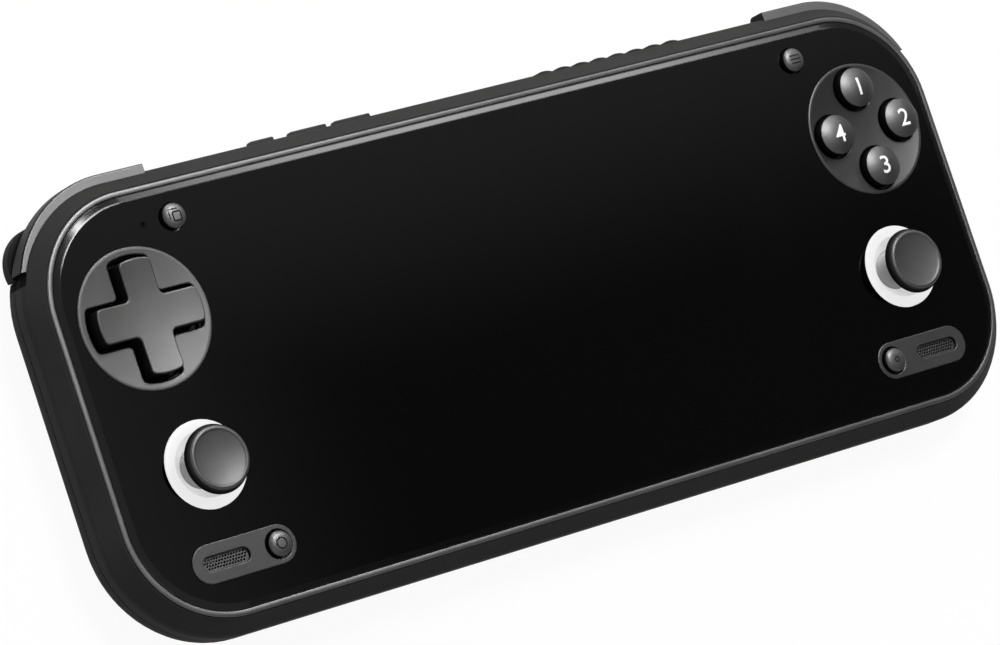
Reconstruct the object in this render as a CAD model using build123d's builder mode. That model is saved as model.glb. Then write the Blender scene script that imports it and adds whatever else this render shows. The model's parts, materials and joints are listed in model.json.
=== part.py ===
"""Handheld game console: a slim casing with a glass front, keys, two sticks and shoulder buttons.

Millimetres. X runs along the body, Y towards the shoulder buttons, Z out of the screen. The
console lies on its back, and the origin is the middle of its resting face, under the feet.
A level is a depth below the face, which is the top of the two round control plates.
"""

import os
from math import sqrt

from build123d import *

os.makedirs("parts", exist_ok=True)

# Body
body_length = 249.0
body_width = 102.5
body_thickness = 16.0
corner_radius = 27.0
foot_rise = 0.8
shell_wall = 1.7
rear_radius = 5.0

# Gaps
overrun = 4.0
seat_gap = 0.1
moving_gap = 0.35
fit_gap = 0.05
touch = 0.01

# Front, from the glass to the back of the front plate
glass_recess = 0.3
glass_thickness = 1.6
glass_radius = 22.5
bevel_width = 1.5
bevel_depth = 0.5
ring_inset = 3.65
ring_width = 1.15
ring_recess = 0.8
ring_height = 2.1
front_plate = 1.5

# Casing profile
crease_level = 1.3
slope_width = 3.3
shoulder_level = 5.7
shoulder_radius = 2.5
seam_level = 9.2
seam_groove = 0.25
rim_width = 4.6
rim_level = 6.4

# Screen and what carries it
side_width = 46.0
display_border = 6.25
display_thickness = 1.5
frame_thickness = 1.0
frame_overlap = 2.7
frame_margin = 5.0

# Round control plates
plate_edge_distance = 24.5
plate_row_share = 0.189
plate_radius = 16.0
plate_thickness = 1.9

# Cross key
cross_opening_width = 10.0
cross_opening_radius = 14.1
cross_width = 7.9
cross_radius = 12.9
cross_corner = 1.2
cross_rise = 3.1
cross_edge = 0.35
cross_dish = 0.35
cross_flange_radius = 13.4
cross_flange_level = 3.3
cross_flange_thickness = 0.8
cross_hub_radius = 3.2
cross_hub_height = 0.4
ball_radius = 1.5
ball_level = 4.6

# Face buttons
button_spacing = 9.75
button_radius = 4.75
button_gap = 0.45
button_shoulder = 0.35
button_side_height = 2.05
button_rise = 3.1
button_flange_radius = 5.6
button_flange_level = 2.3
button_flange_thickness = 0.8

# Small round buttons
small_radius = 2.85
small_gap = 0.4
small_rise = 1.5
small_dome = 0.6
small_flange_width = 0.4
small_flange_thickness = 0.7
small_stem_radius = 1.2
small_stem_length = 1.6
small_travel = 0.6
switch_radius = 1.6
upper_edge_distance = 38.65
upper_row_share = 0.3831
microphone_radius = 0.35
microphone_spacing = 7.3

# Long plates with a button and a speaker slot
pill_row_share = -0.3427
pill_edge_distance = 21.1
pill_length = 17.35
pill_radius = 4.4
slot_edge_distance = 25.25
slot_length = 11.8
slot_width = 3.2
mesh_recess = 0.8
mesh_thickness = 0.35
mesh_margin = 0.5
mesh_pitch = 0.73
mesh_row_pitch = 0.66
mesh_rows = 4
mesh_hole_radius = 0.25
speaker_length = 14.0
speaker_width = 7.0
speaker_height = 3.2

# Sticks
stick_edge_distance = 27.63
stick_row_share = -0.1392
light_radius = 9.8
light_inner_radius = 6.9
light_funnel = 0.6
stick_well_radius = 8.0
gimbal_level = 8.0
cap_radius = 8.05
cap_rim_radius = 7.05
cap_rim_rise = 6.9
cap_edge_rise = 5.3
cap_under_radius = 7.5
cap_under_rise = 4.5
cap_dish = 0.9
neck_radius = 2.9
dome_radius = 6.5
dome_thickness = 0.8
dome_reach = 4.2
shaft_radius = 1.3
shaft_below = 2.4
shaft_above = 12.6
module_width = 17.0
module_wall = 1.5
module_level = 5.2
module_floor = 0.8
module_flange = 1.2
module_flange_thickness = 0.8
yoke_width = 9.4
yoke_wall = 1.6
gimbal_height = 2.0
pivot_width = 5.0
trunnion_radius = 1.0
pivot_pin_radius = 0.8
stick_click = 0.4

# Control boards and rubber sheets
board_level = 6.4
board_thickness = 1.0
board_inset = 10.2
board_inner_distance = 44.5
board_below_stick = 11.73
tongue_edge_distance = 33.0
tongue_below_pill = 5.87
post_radius = 1.6
sheet_radius = 13.2
sheet_thickness = 1.0
sheet_hole_gap = 0.4

# Shoulder buttons
notch_start_distance = 38.85
notch_end_distance = 18.15
notch_width = 7.5
notch_wall = 1.2
notch_roof = 4.95
bumper_start_distance = 38.5
bumper_end_distance = 15.15
bumper_rise = 1.65
bumper_thickness = 4.6
bumper_back = 11.0
bumper_back_round = 1.6
bumper_front_round = 0.4
trigger_end_distance = 15.65
trigger_inset = 0.6
trigger_thickness = 4.4
trigger_step_level = 13.8
trigger_step_distance = 29.6
trigger_back = 15.9
trigger_back_round = 1.8
trigger_front_round = 0.6
lobe_blend = 3.0
lobe_radius = 8.7
lobe_side_distance = 11.6
lobe_edge_distance = 13.75
ear_radius = 2.7
pin_side_distance = 34.5
pin_inset = 2.95
pin_radius = 1.0
pin_socket = 0.8
spring_width = 7.0
spring_rise = 1.6
spring_strip = 0.3
spring_height = 1.8
spring_side_distance = 27.7

# Keys on the upper edge
key_level = 7.85
key_height = 2.1
key_rise = 0.9
key_flange = 0.8
key_flange_side = 1.0
key_window_height = 2.7
key_travel = 0.5
power_side_distance = 70.0
power_length = 6.0
volume_down_side_distance = 82.3
volume_up_side_distance = 94.1
volume_length = 9.4
key_switch_depth = 3.0

# Vents over the heat sink
vent_count = 8
vent_pitch = 5.2
vent_hood_width = 4.6
vent_hood_rise = 0.45
vent_slot_width = 2.6
vent_slot_height = 2.0
vent_slot_level = 7.9

# Boards, battery and ports
main_level = 6.4
main_thickness = 1.0
main_side_margin = 12.5
fan_bay = 59.5
main_battery_gap = 3.0
main_edge_distance = 5.75
main_width = 31.0
chip_width = 14.0
chip_height = 1.2
chip_end_distance = 25.0
chip_start_distance = 12.5
battery_thickness = 5.2
battery_edge_distance = 10.75
battery_round = 1.5
port_board_level = 5.7
port_board_distance = 27.5
port_board_length = 38.0
port_board_width = 11.0
usb_width = 9.0
usb_height = 3.2
usb_length = 7.4
usb_wall = 0.3
usb_tongue_width = 6.7
usb_tongue_height = 0.7
port_spacing = 17.5
jack_bore_radius = 1.8
jack_width = 6.4
jack_height = 4.6
jack_length = 13.0
jack_bore_length = 12.0
port_gap = 0.25
standoff_radius = 1.5

# Cooling
fan_board_gap = 2.0
fan_length = 38.0
fan_width = 36.0
fan_height = 5.6
fan_wall = 0.8
fan_cavity_radius = 16.0
fan_inlet_radius = 11.0
rotor_radius = 14.6
rotor_height = 3.0
rotor_hub_radius = 7.0
rotor_web = 0.6
blade_count = 19
blade_thickness = 0.6
axle_radius = 1.0
sink_length = 40.0
sink_width = 6.0
sink_edge_distance = 7.85
sink_base = 0.8
fin_thickness = 0.5
fin_pitch = 2.4
pipe_width = 5.0
pipe_height = 1.6
pipe_bend = 6.0
grille_slot_width = 1.6
grille_pitch = 3.4
grille_rows = 8
grille_radius = 14.0

# Screws and feet
screw_inset = 7.25
screw_side_distance = 49.5
boss_radius = 2.6
screw_radius = 1.0
screw_tip_level = 5.6
screw_head_radius = 1.9
screw_head_height = 1.0
screw_drive_width = 1.1
screw_drive_depth = 0.6
foot_side_distance = 52.5
foot_edge_distance = 17.25
foot_length = 24.0
foot_width = 6.0
foot_seat = 0.5

# Levels and places that follow from the sizes above
face_z = foot_rise + body_thickness
glass_seat = glass_recess + glass_thickness
glass_inset = ring_inset + ring_width + seat_gap
ring_seat = ring_recess + ring_height
plate_back = glass_seat + front_plate
frame_back = plate_back + frame_thickness
rear_floor = body_thickness - shell_wall
bumper_front = notch_roof + moving_gap
trigger_front = bumper_back + moving_gap
notch_floor = trigger_step_level + moving_gap
board_back = board_level + board_thickness
display_length = body_length - 2 * side_width
display_width = body_width - 2 * display_border

half_length = body_length / 2
half_width = body_width / 2
plate_row_y = plate_row_share * body_width
upper_row_y = upper_row_share * body_width
pill_row_y = pill_row_share * body_width
stick_row_y = stick_row_share * body_width
plate_x = half_length - plate_edge_distance
stick_x = half_length - stick_edge_distance
upper_x = half_length - upper_edge_distance
pill_outer_x = half_length - pill_edge_distance
pill_inner_x = pill_outer_x - pill_length
slot_x = half_length - slot_edge_distance
pin_y = half_width - pin_inset
board_inner_x = half_length - board_inner_distance
board_outer_x = half_length - board_inset
board_split_y = stick_row_y - board_below_stick
tongue_outer_x = half_length - tongue_edge_distance
tongue_end_y = pill_row_y - tongue_below_pill
notch_start_x = half_length - notch_start_distance
notch_end_y = half_width - notch_end_distance
bumper_start_x = half_length - bumper_start_distance
bumper_end_y = half_width - bumper_end_distance
trigger_end_y = half_width - trigger_end_distance
trigger_step_x = half_length - trigger_step_distance
lobe_x = half_length - lobe_side_distance
lobe_y = half_width - lobe_edge_distance
pin_x = half_length - pin_side_distance
spring_x = half_length - spring_side_distance
screw_corner_x = half_length - screw_side_distance
foot_x = half_length - foot_side_distance
foot_y = half_width - foot_edge_distance

main_start_x = main_side_margin - display_length / 2
main_end_x = display_length / 2 - fan_bay
battery_start_y = battery_edge_distance - half_width
main_end_y = half_width - main_edge_distance
main_start_y = main_end_y - main_width
battery_width = main_start_y - main_battery_gap - battery_start_y
chip_x = main_end_x - chip_end_distance
chip_y = main_start_y + chip_start_distance
sink_y = half_width - sink_edge_distance
fan_x = main_end_x + fan_board_gap + fan_length / 2
fan_y = sink_y - (sink_width + fan_width) / 2 - 2 * seat_gap
port_board_x = display_length / 2 - port_board_distance
usb_x = port_board_x - port_board_length / 4
jack_x = usb_x + port_spacing

SIDES = {"left": -1, "right": 1}


def level(depth):
    """Plane parallel to the screen, a depth below the face."""
    return Plane.XY.offset(face_z - depth)


def both(x, y):
    """A place and its mirror image on the other half of the body."""
    return [(-x, y), (x, y)]


def body_outline(inset=0, mode=Mode.ADD):
    """Outline of the body, moved inwards, in the open sketch."""
    RectangleRounded(body_length - 2 * inset, body_width - 2 * inset, corner_radius - inset, mode=mode)


def cover_outline(inset, mode=Mode.ADD):
    """Outline of the glass and its ring, moved inwards, in the open sketch."""
    radius = glass_radius + glass_inset - inset
    RectangleRounded(body_length - 2 * inset, body_width - 2 * inset, radius, mode=mode)


def notch_area(grow=0, start_x=notch_start_x):
    """Both shoulder notches in plan, grown inwards, in the open sketch."""
    inner_x = start_x - grow
    lower_y = notch_end_y - grow
    length = half_length + overrun - inner_x
    width = half_width + overrun - lower_y
    with Locations(*both(inner_x + length / 2, lower_y + width / 2)):
        Rectangle(length, width)
    body_outline(notch_width + grow, mode=Mode.SUBTRACT)


def round_places(centre, spacing):
    """Four places round a centre: top, right, bottom, left."""
    x, y = centre
    return [(x, y + spacing), (x + spacing, y), (x, y - spacing), (x - spacing, y)]


def save(builder, label):
    """Label a finished piece and write it."""
    builder.part.label = label
    export_step(builder.part, f"parts/{label}.step")


dpad_place = (-plate_x, plate_row_y)
button_plate_place = (plate_x, plate_row_y)
button_places = round_places(button_plate_place, button_spacing)
screw_places = (
    both(screw_corner_x, half_width - screw_inset)
    + both(screw_corner_x, screw_inset - half_width)
    + both(half_length - screw_inset, stick_row_y)
)
foot_places = both(foot_x, foot_y) + both(foot_x, -foot_y)
post_inner_x = board_inner_x + 2 * post_radius
post_outer_x = board_outer_x - 2 * post_radius
post_middle_y = (plate_row_y + stick_row_y) / 2 - post_radius
post_upper_y = half_width - board_inset - 2 * post_radius
post_places = (
    both(post_inner_x, post_middle_y)
    + both(post_outer_x, post_middle_y)
    + both(post_inner_x, board_split_y + post_radius)
    + both(post_outer_x, board_split_y + post_radius)
    + both(plate_x, post_upper_y)
)
small_flange_radius = small_radius + small_gap + small_flange_width
keys = {
    "power_button": (power_side_distance - half_length, power_length),
    "volume_down_button": (volume_down_side_distance - half_length, volume_length),
    "volume_up_button": (volume_up_side_distance - half_length, volume_length),
}
vent_places = [fan_x + (i - (vent_count - 1) / 2) * vent_pitch for i in range(vent_count)]


# Front shell
key_window_level = key_level - key_window_height / 2
with BuildPart() as front_shell:
    with BuildSketch(level(seam_level)):
        body_outline()
    extrude(amount=seam_level - shoulder_level)
    with BuildSketch(level(shoulder_level)):
        body_outline()
    with BuildSketch(level(crease_level)):
        body_outline(slope_width)
    loft()
    shoulder_z = face_z - shoulder_level
    fillet(
        front_shell.edges().filter_by_position(Axis.Z, shoulder_z - touch, shoulder_z + touch),
        shoulder_radius,
    )
    # Hollow behind the front plate
    with BuildSketch(level(rim_level)):
        body_outline(rim_width)
    extrude(amount=rim_level - plate_back, mode=Mode.SUBTRACT)
    with BuildSketch(level(seam_level)):
        body_outline(shell_wall)
    extrude(amount=seam_level - rim_level, mode=Mode.SUBTRACT)
    # Seats of the glass and of its ring
    with BuildSketch(level(glass_seat)):
        cover_outline(ring_inset - seat_gap)
    extrude(amount=glass_seat, mode=Mode.SUBTRACT)
    with BuildSketch(level(ring_seat)):
        cover_outline(ring_inset - seat_gap)
        cover_outline(glass_inset, mode=Mode.SUBTRACT)
    extrude(amount=ring_seat - glass_seat, mode=Mode.SUBTRACT)
    # Screen window and wells of the controls
    with BuildSketch(level(plate_back)):
        Rectangle(display_length + 2 * seat_gap, display_width + 2 * seat_gap)
        with Locations(dpad_place):
            Circle(cross_flange_radius + moving_gap)
        with Locations(*button_places):
            Circle(button_flange_radius + moving_gap)
        with Locations(*both(stick_x, stick_row_y)):
            Circle(stick_well_radius)
        with Locations(*both(upper_x, upper_row_y), *both(pill_inner_x, pill_row_y)):
            Circle(small_flange_radius + moving_gap)
        with Locations(*both(slot_x, pill_row_y)):
            SlotOverall(slot_length, slot_width)
    extrude(amount=front_plate, mode=Mode.SUBTRACT)
    # Screw bosses and posts of the control boards
    with BuildSketch(level(seam_level)):
        with Locations(*screw_places):
            Circle(boss_radius)
    extrude(amount=seam_level - plate_back)
    with BuildSketch(level(board_level)):
        with Locations(*post_places):
            Circle(post_radius)
    extrude(amount=board_level - plate_back)
    with BuildSketch(level(seam_level)):
        with Locations(*screw_places):
            Circle(screw_radius + touch)
    extrude(amount=seam_level - screw_tip_level + seat_gap, mode=Mode.SUBTRACT)
    # Notches of the shoulder buttons
    with BuildSketch(level(seam_level)):
        notch_area(notch_wall)
        body_outline(shell_wall, mode=Mode.INTERSECT)
    extrude(amount=seam_level - rim_level)
    with BuildSketch(level(rim_level)):
        notch_area(notch_wall)
        body_outline(slope_width, mode=Mode.INTERSECT)
    extrude(amount=rim_level - plate_back)
    with BuildSketch(level(seam_level)):
        notch_area()
    extrude(amount=seam_level - notch_roof, mode=Mode.SUBTRACT)
    with BuildSketch(level(notch_roof)):
        with Locations(*both(pin_x, pin_y)):
            Circle(pin_radius + touch)
    extrude(amount=pin_socket, mode=Mode.SUBTRACT)
    # Room for the flanges of the pressed upper buttons
    with BuildSketch(level(plate_back + small_travel)):
        with Locations(*both(upper_x, upper_row_y)):
            Circle(small_flange_radius + moving_gap)
    extrude(amount=small_travel, mode=Mode.SUBTRACT)
    # Windows of the keys on the upper edge
    with BuildSketch(Plane.XZ.offset(-half_width - overrun)):
        for key_x, key_length in keys.values():
            with Locations((key_x, face_z - (key_window_level + seam_level) / 2)):
                Rectangle(key_length + 2 * moving_gap, seam_level - key_window_level)
    extrude(amount=shell_wall + 2 * overrun, mode=Mode.SUBTRACT)
    # Vent hoods and their slots
    hood_radius = ((vent_hood_width / 2) ** 2 + vent_hood_rise**2) / (2 * vent_hood_rise)
    with BuildSketch(level(seam_level)):
        with Locations(*[(x, half_width + vent_hood_rise - hood_radius) for x in vent_places]):
            Circle(hood_radius)
        with Locations((fan_x, half_width)):
            Rectangle(vent_count * vent_pitch, shell_wall, mode=Mode.INTERSECT)
    extrude(amount=seam_level - shoulder_level)
    with BuildSketch(Plane.XZ.offset(-half_width - overrun)):
        with Locations(*[(x, face_z - vent_slot_level) for x in vent_places]):
            SlotOverall(vent_slot_width, vent_slot_height)
    extrude(amount=shell_wall + 2 * overrun, mode=Mode.SUBTRACT)
    # Port openings in the lower edge
    usb_level = port_board_level + board_thickness + usb_height / 2
    jack_level = port_board_level + board_thickness + jack_height / 2
    with BuildSketch(Plane.XZ.offset(half_width - shell_wall - touch)):
        with Locations((usb_x, face_z - usb_level)):
            SlotOverall(usb_width + 2 * port_gap, usb_height + 2 * port_gap)
        with Locations((jack_x, face_z - jack_level)):
            Circle(jack_bore_radius + port_gap)
    extrude(amount=shell_wall + overrun, mode=Mode.SUBTRACT)
save(front_shell, "front_shell")

# Rear shell
with BuildPart() as rear_shell:
    with BuildSketch(level(body_thickness)):
        body_outline()
    extrude(amount=body_thickness - seam_level)
    fillet(rear_shell.faces().sort_by(Axis.Z)[0].edges(), rear_radius)
    offset(amount=-shell_wall, openings=rear_shell.faces().sort_by(Axis.Z)[-1])
    with BuildSketch(level(seam_level + seam_groove)):
        body_outline()
        body_outline(seam_groove, mode=Mode.SUBTRACT)
    extrude(amount=seam_groove, mode=Mode.SUBTRACT)
    # Screw pillars
    with BuildSketch(level(rear_floor + touch)):
        with Locations(*screw_places):
            Circle(boss_radius)
    extrude(amount=rear_floor + touch - seam_level)
    with BuildSketch(level(body_thickness)):
        with Locations(*screw_places):
            Circle(screw_radius + fit_gap)
    extrude(amount=body_thickness - seam_level, mode=Mode.SUBTRACT)
    with BuildSketch(level(body_thickness)):
        with Locations(*screw_places):
            Circle(screw_head_radius + seat_gap)
    extrude(amount=screw_head_height + seat_gap, mode=Mode.SUBTRACT)
    # Notches of the shoulder buttons
    with BuildSketch(level(rear_floor + touch)):
        notch_area(notch_wall)
        body_outline(shell_wall, mode=Mode.INTERSECT)
    extrude(amount=rear_floor + touch - seam_level)
    with BuildSketch(level(notch_floor)):
        notch_area()
    extrude(amount=notch_floor - seam_level, mode=Mode.SUBTRACT)
    with BuildSketch(level(body_thickness)):
        notch_area(start_x=trigger_step_x - moving_gap)
    extrude(amount=body_thickness - seam_level, mode=Mode.SUBTRACT)
    with BuildSketch(level(notch_floor + pin_socket)):
        with Locations(*both(pin_x, pin_y)):
            Circle(pin_radius + touch)
    extrude(amount=pin_socket, mode=Mode.SUBTRACT)
    # Grille under the fan
    with BuildSketch(level(body_thickness)):
        for i in range(grille_rows):
            offset_y = (i - (grille_rows - 1) / 2) * grille_pitch
            chord = 2 * sqrt(grille_radius**2 - offset_y**2)
            with Locations((fan_x, fan_y + offset_y)):
                SlotOverall(chord, grille_slot_width)
    extrude(amount=shell_wall, mode=Mode.SUBTRACT)
    # Foot seats
    with BuildSketch(level(body_thickness)):
        with Locations(*foot_places):
            SlotOverall(foot_length, foot_width)
    extrude(amount=foot_seat, mode=Mode.SUBTRACT)
    # Port openings in the lower edge
    with BuildSketch(Plane.XZ.offset(half_width - shell_wall - touch)):
        with Locations((usb_x, face_z - usb_level)):
            SlotOverall(usb_width + 2 * port_gap, usb_height + 2 * port_gap)
        with Locations((jack_x, face_z - jack_level)):
            Circle(jack_bore_radius + port_gap)
    extrude(amount=shell_wall + overrun, mode=Mode.SUBTRACT)
save(rear_shell, "rear_shell")

# Ring round the glass
with BuildPart() as bezel_ring:
    with BuildSketch(level(ring_seat)):
        cover_outline(ring_inset)
        cover_outline(ring_inset + ring_width, mode=Mode.SUBTRACT)
    extrude(amount=ring_height)
save(bezel_ring, "bezel_ring")

# Glass front
with BuildPart() as cover_glass:
    with BuildSketch(level(glass_seat)):
        cover_outline(glass_inset)
    extrude(amount=glass_thickness - bevel_depth)
    with BuildSketch(level(glass_recess + bevel_depth)):
        cover_outline(glass_inset)
    with BuildSketch(level(glass_recess)):
        cover_outline(glass_inset + bevel_width)
    loft()
    with BuildSketch(level(glass_seat)):
        with Locations(*both(plate_x, plate_row_y)):
            Circle(plate_radius + seat_gap)
        with Locations(*both(stick_x, stick_row_y)):
            Circle(light_radius + seat_gap)
        with Locations(*both(upper_x, upper_row_y)):
            Circle(small_radius + small_gap)
        with Locations(*both((pill_inner_x + pill_outer_x) / 2, pill_row_y)):
            SlotCenterToCenter(pill_length, 2 * (pill_radius + seat_gap))
        with Locations((-upper_x - microphone_spacing, upper_row_y)):
            Circle(microphone_radius)
    extrude(amount=glass_thickness, mode=Mode.SUBTRACT)
save(cover_glass, "cover_glass")

# Screen
with BuildPart() as display_panel:
    with BuildSketch(level(glass_seat + display_thickness)):
        Rectangle(display_length, display_width)
    extrude(amount=display_thickness)
save(display_panel, "display_panel")

# Inner frame behind the screen, with its standoffs
main_places = [
    (main_start_x + 2 * standoff_radius, main_start_y + 2 * standoff_radius),
    (main_end_x - 2 * standoff_radius, main_start_y + 2 * standoff_radius),
    (main_start_x + 2 * standoff_radius, main_end_y - 2 * standoff_radius),
    (main_end_x - 2 * standoff_radius, main_end_y - 2 * standoff_radius),
]
port_board_y = -half_width + rim_width + port_gap + port_board_width / 2
port_places = [
    (port_board_x - port_board_length / 2 + 2 * standoff_radius, port_board_y),
    (port_board_x + port_board_length / 2 - 2 * standoff_radius, port_board_y),
]
with BuildPart() as mid_frame:
    with BuildSketch(level(frame_back)):
        Rectangle(display_length + 2 * frame_overlap, body_width - 2 * frame_margin)
        with Locations(*screw_places):
            Circle(boss_radius + seat_gap, mode=Mode.SUBTRACT)
    extrude(amount=frame_thickness)
    with BuildSketch(level(main_level)):
        with Locations(*main_places):
            Circle(standoff_radius)
    extrude(amount=main_level - frame_back)
    with BuildSketch(level(port_board_level)):
        with Locations(*port_places):
            Circle(standoff_radius)
    extrude(amount=port_board_level - frame_back)
save(mid_frame, "mid_frame")

# Round plate of the cross key
with BuildPart() as dpad_plate:
    with BuildSketch(level(plate_thickness)):
        with Locations(dpad_place):
            Circle(plate_radius)
    extrude(amount=plate_thickness)
    with BuildSketch(level(plate_thickness)):
        with BuildSketch(mode=Mode.PRIVATE) as cross_opening:
            Rectangle(2 * plate_radius, cross_opening_width)
            Rectangle(cross_opening_width, 2 * plate_radius)
            Circle(cross_opening_radius, mode=Mode.INTERSECT)
            fillet(cross_opening.vertices(), cross_corner)
        with Locations(dpad_place):
            add(cross_opening.sketch)
    extrude(amount=plate_thickness, mode=Mode.SUBTRACT)
save(dpad_plate, "dpad_plate")

# Cross key
with BuildPart() as dpad_key:
    with BuildSketch(level(cross_flange_level)):
        with BuildSketch(mode=Mode.PRIVATE) as cross:
            Rectangle(2 * plate_radius, cross_width)
            Rectangle(cross_width, 2 * plate_radius)
            Circle(cross_radius, mode=Mode.INTERSECT)
            fillet(cross.vertices(), cross_corner)
        with Locations(dpad_place):
            add(cross.sketch)
    extrude(amount=cross_flange_level + cross_rise)
    dish_radius = (cross_radius**2 + cross_dish**2) / (2 * cross_dish)
    with Locations((*dpad_place, face_z + cross_rise - cross_dish + dish_radius)):
        Sphere(dish_radius, mode=Mode.SUBTRACT)
    fillet(dpad_key.faces().sort_by(Axis.Z)[-1].edges(), cross_edge)
    with BuildSketch(level(cross_flange_level + cross_flange_thickness)):
        with Locations(dpad_place):
            Circle(cross_flange_radius)
    extrude(amount=cross_flange_thickness)
    with BuildSketch(level(cross_flange_level + cross_flange_thickness + cross_hub_height)):
        with Locations(dpad_place):
            Circle(cross_hub_radius)
    extrude(amount=cross_hub_height)
    with Locations((*dpad_place, face_z - ball_level)):
        Sphere(ball_radius + moving_gap, mode=Mode.SUBTRACT)
save(dpad_key, "dpad_key")

# Ball that the cross key rocks on
with BuildPart() as dpad_pivot:
    with Locations((*dpad_place, face_z - ball_level)):
        Sphere(ball_radius)
save(dpad_pivot, "dpad_pivot")

# Round plate of the face buttons
with BuildPart() as button_plate:
    with BuildSketch(level(plate_thickness)):
        with Locations(button_plate_place):
            Circle(plate_radius)
        with Locations(*button_places):
            Circle(button_radius + button_gap, mode=Mode.SUBTRACT)
    extrude(amount=plate_thickness)
save(button_plate, "button_plate")


def turned(place, points, dome):
    """Turned piece: points give radius and height above the face, and a dome closes its top."""
    rim_radius, rim_height = points[-1]
    dome_sphere = (rim_radius**2 + dome**2) / (2 * dome)
    top = (0, rim_height + dome)
    with BuildPart() as piece:
        with BuildSketch(Plane(origin=(*place, face_z), x_dir=(1, 0, 0), z_dir=(0, -1, 0))):
            with BuildLine():
                Polyline(*points)
                RadiusArc(points[-1], top, -dome_sphere)
                Line(top, points[0])
            make_face()
        revolve(axis=Axis((*place, 0), (0, 0, 1)))
    return piece


# Face buttons
button_flange_back = button_flange_level + button_flange_thickness
button_shoulder_height = button_side_height + button_shoulder
button_points = [
    (0, -button_flange_back),
    (button_flange_radius, -button_flange_back),
    (button_flange_radius, -button_flange_level),
    (button_radius, -button_flange_level),
    (button_radius, button_side_height),
    (button_radius - button_shoulder, button_shoulder_height),
]
for side_name, place in zip(["top", "right", "bottom", "left"], button_places):
    face_button = turned(place, button_points, button_rise - button_shoulder_height)
    save(face_button, f"face_button_{side_name}")

# Small round buttons
small_flange_level = glass_seat + moving_gap
small_flange_back = small_flange_level + small_flange_thickness
small_stem_level = small_flange_back + small_stem_length
small_points = [
    (0, -small_stem_level),
    (small_stem_radius, -small_stem_level),
    (small_stem_radius, -small_flange_back),
    (small_flange_radius, -small_flange_back),
    (small_flange_radius, -small_flange_level),
    (small_radius, -small_flange_level),
    (small_radius, small_rise - small_dome),
]
for side_name, side in SIDES.items():
    upper_button = turned((side * upper_x, upper_row_y), small_points, small_dome)
    save(upper_button, f"{side_name}_upper_button")
    lower_button = turned((side * pill_inner_x, pill_row_y), small_points, small_dome)
    save(lower_button, f"{side_name}_lower_button")

# Rubber sheets under the cross key and the face buttons
for sheet_label, place, hole_radius in [
    ("dpad_membrane", dpad_place, ball_radius + sheet_hole_gap),
    ("button_membrane", button_plate_place, ball_radius),
]:
    with BuildPart() as membrane:
        with BuildSketch(level(board_level)):
            with Locations(place):
                Circle(sheet_radius)
                Circle(hole_radius, mode=Mode.SUBTRACT)
        extrude(amount=sheet_thickness)
    save(membrane, sheet_label)

# Control boards with the switches of the small buttons
switch_level = small_stem_level + small_travel + moving_gap
board_half_y = half_width - board_inset
for side_name, side in SIDES.items():
    with BuildPart() as control_board:
        with BuildSketch(level(board_back)):
            body_outline(board_inset)
            board_middle_x = (board_inner_x + board_outer_x) / 2
            with Locations((side * board_middle_x, (board_half_y + board_split_y) / 2)):
                Rectangle(board_outer_x - board_inner_x, board_half_y - board_split_y, mode=Mode.INTERSECT)
            tongue_middle_x = (board_inner_x + tongue_outer_x) / 2
            with Locations((side * tongue_middle_x, (board_split_y + tongue_end_y) / 2)):
                Rectangle(tongue_outer_x - board_inner_x, board_split_y - tongue_end_y)
            with Locations((side * stick_x, stick_row_y)):
                Rectangle(module_width + 2 * seat_gap, module_width + 2 * seat_gap, mode=Mode.SUBTRACT)
        extrude(amount=board_thickness)
        with BuildSketch(level(board_level)):
            with Locations((side * upper_x, upper_row_y), (side * pill_inner_x, pill_row_y)):
                Circle(switch_radius)
        extrude(amount=board_level - switch_level)
    save(control_board, f"{side_name}_control_board")

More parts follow.
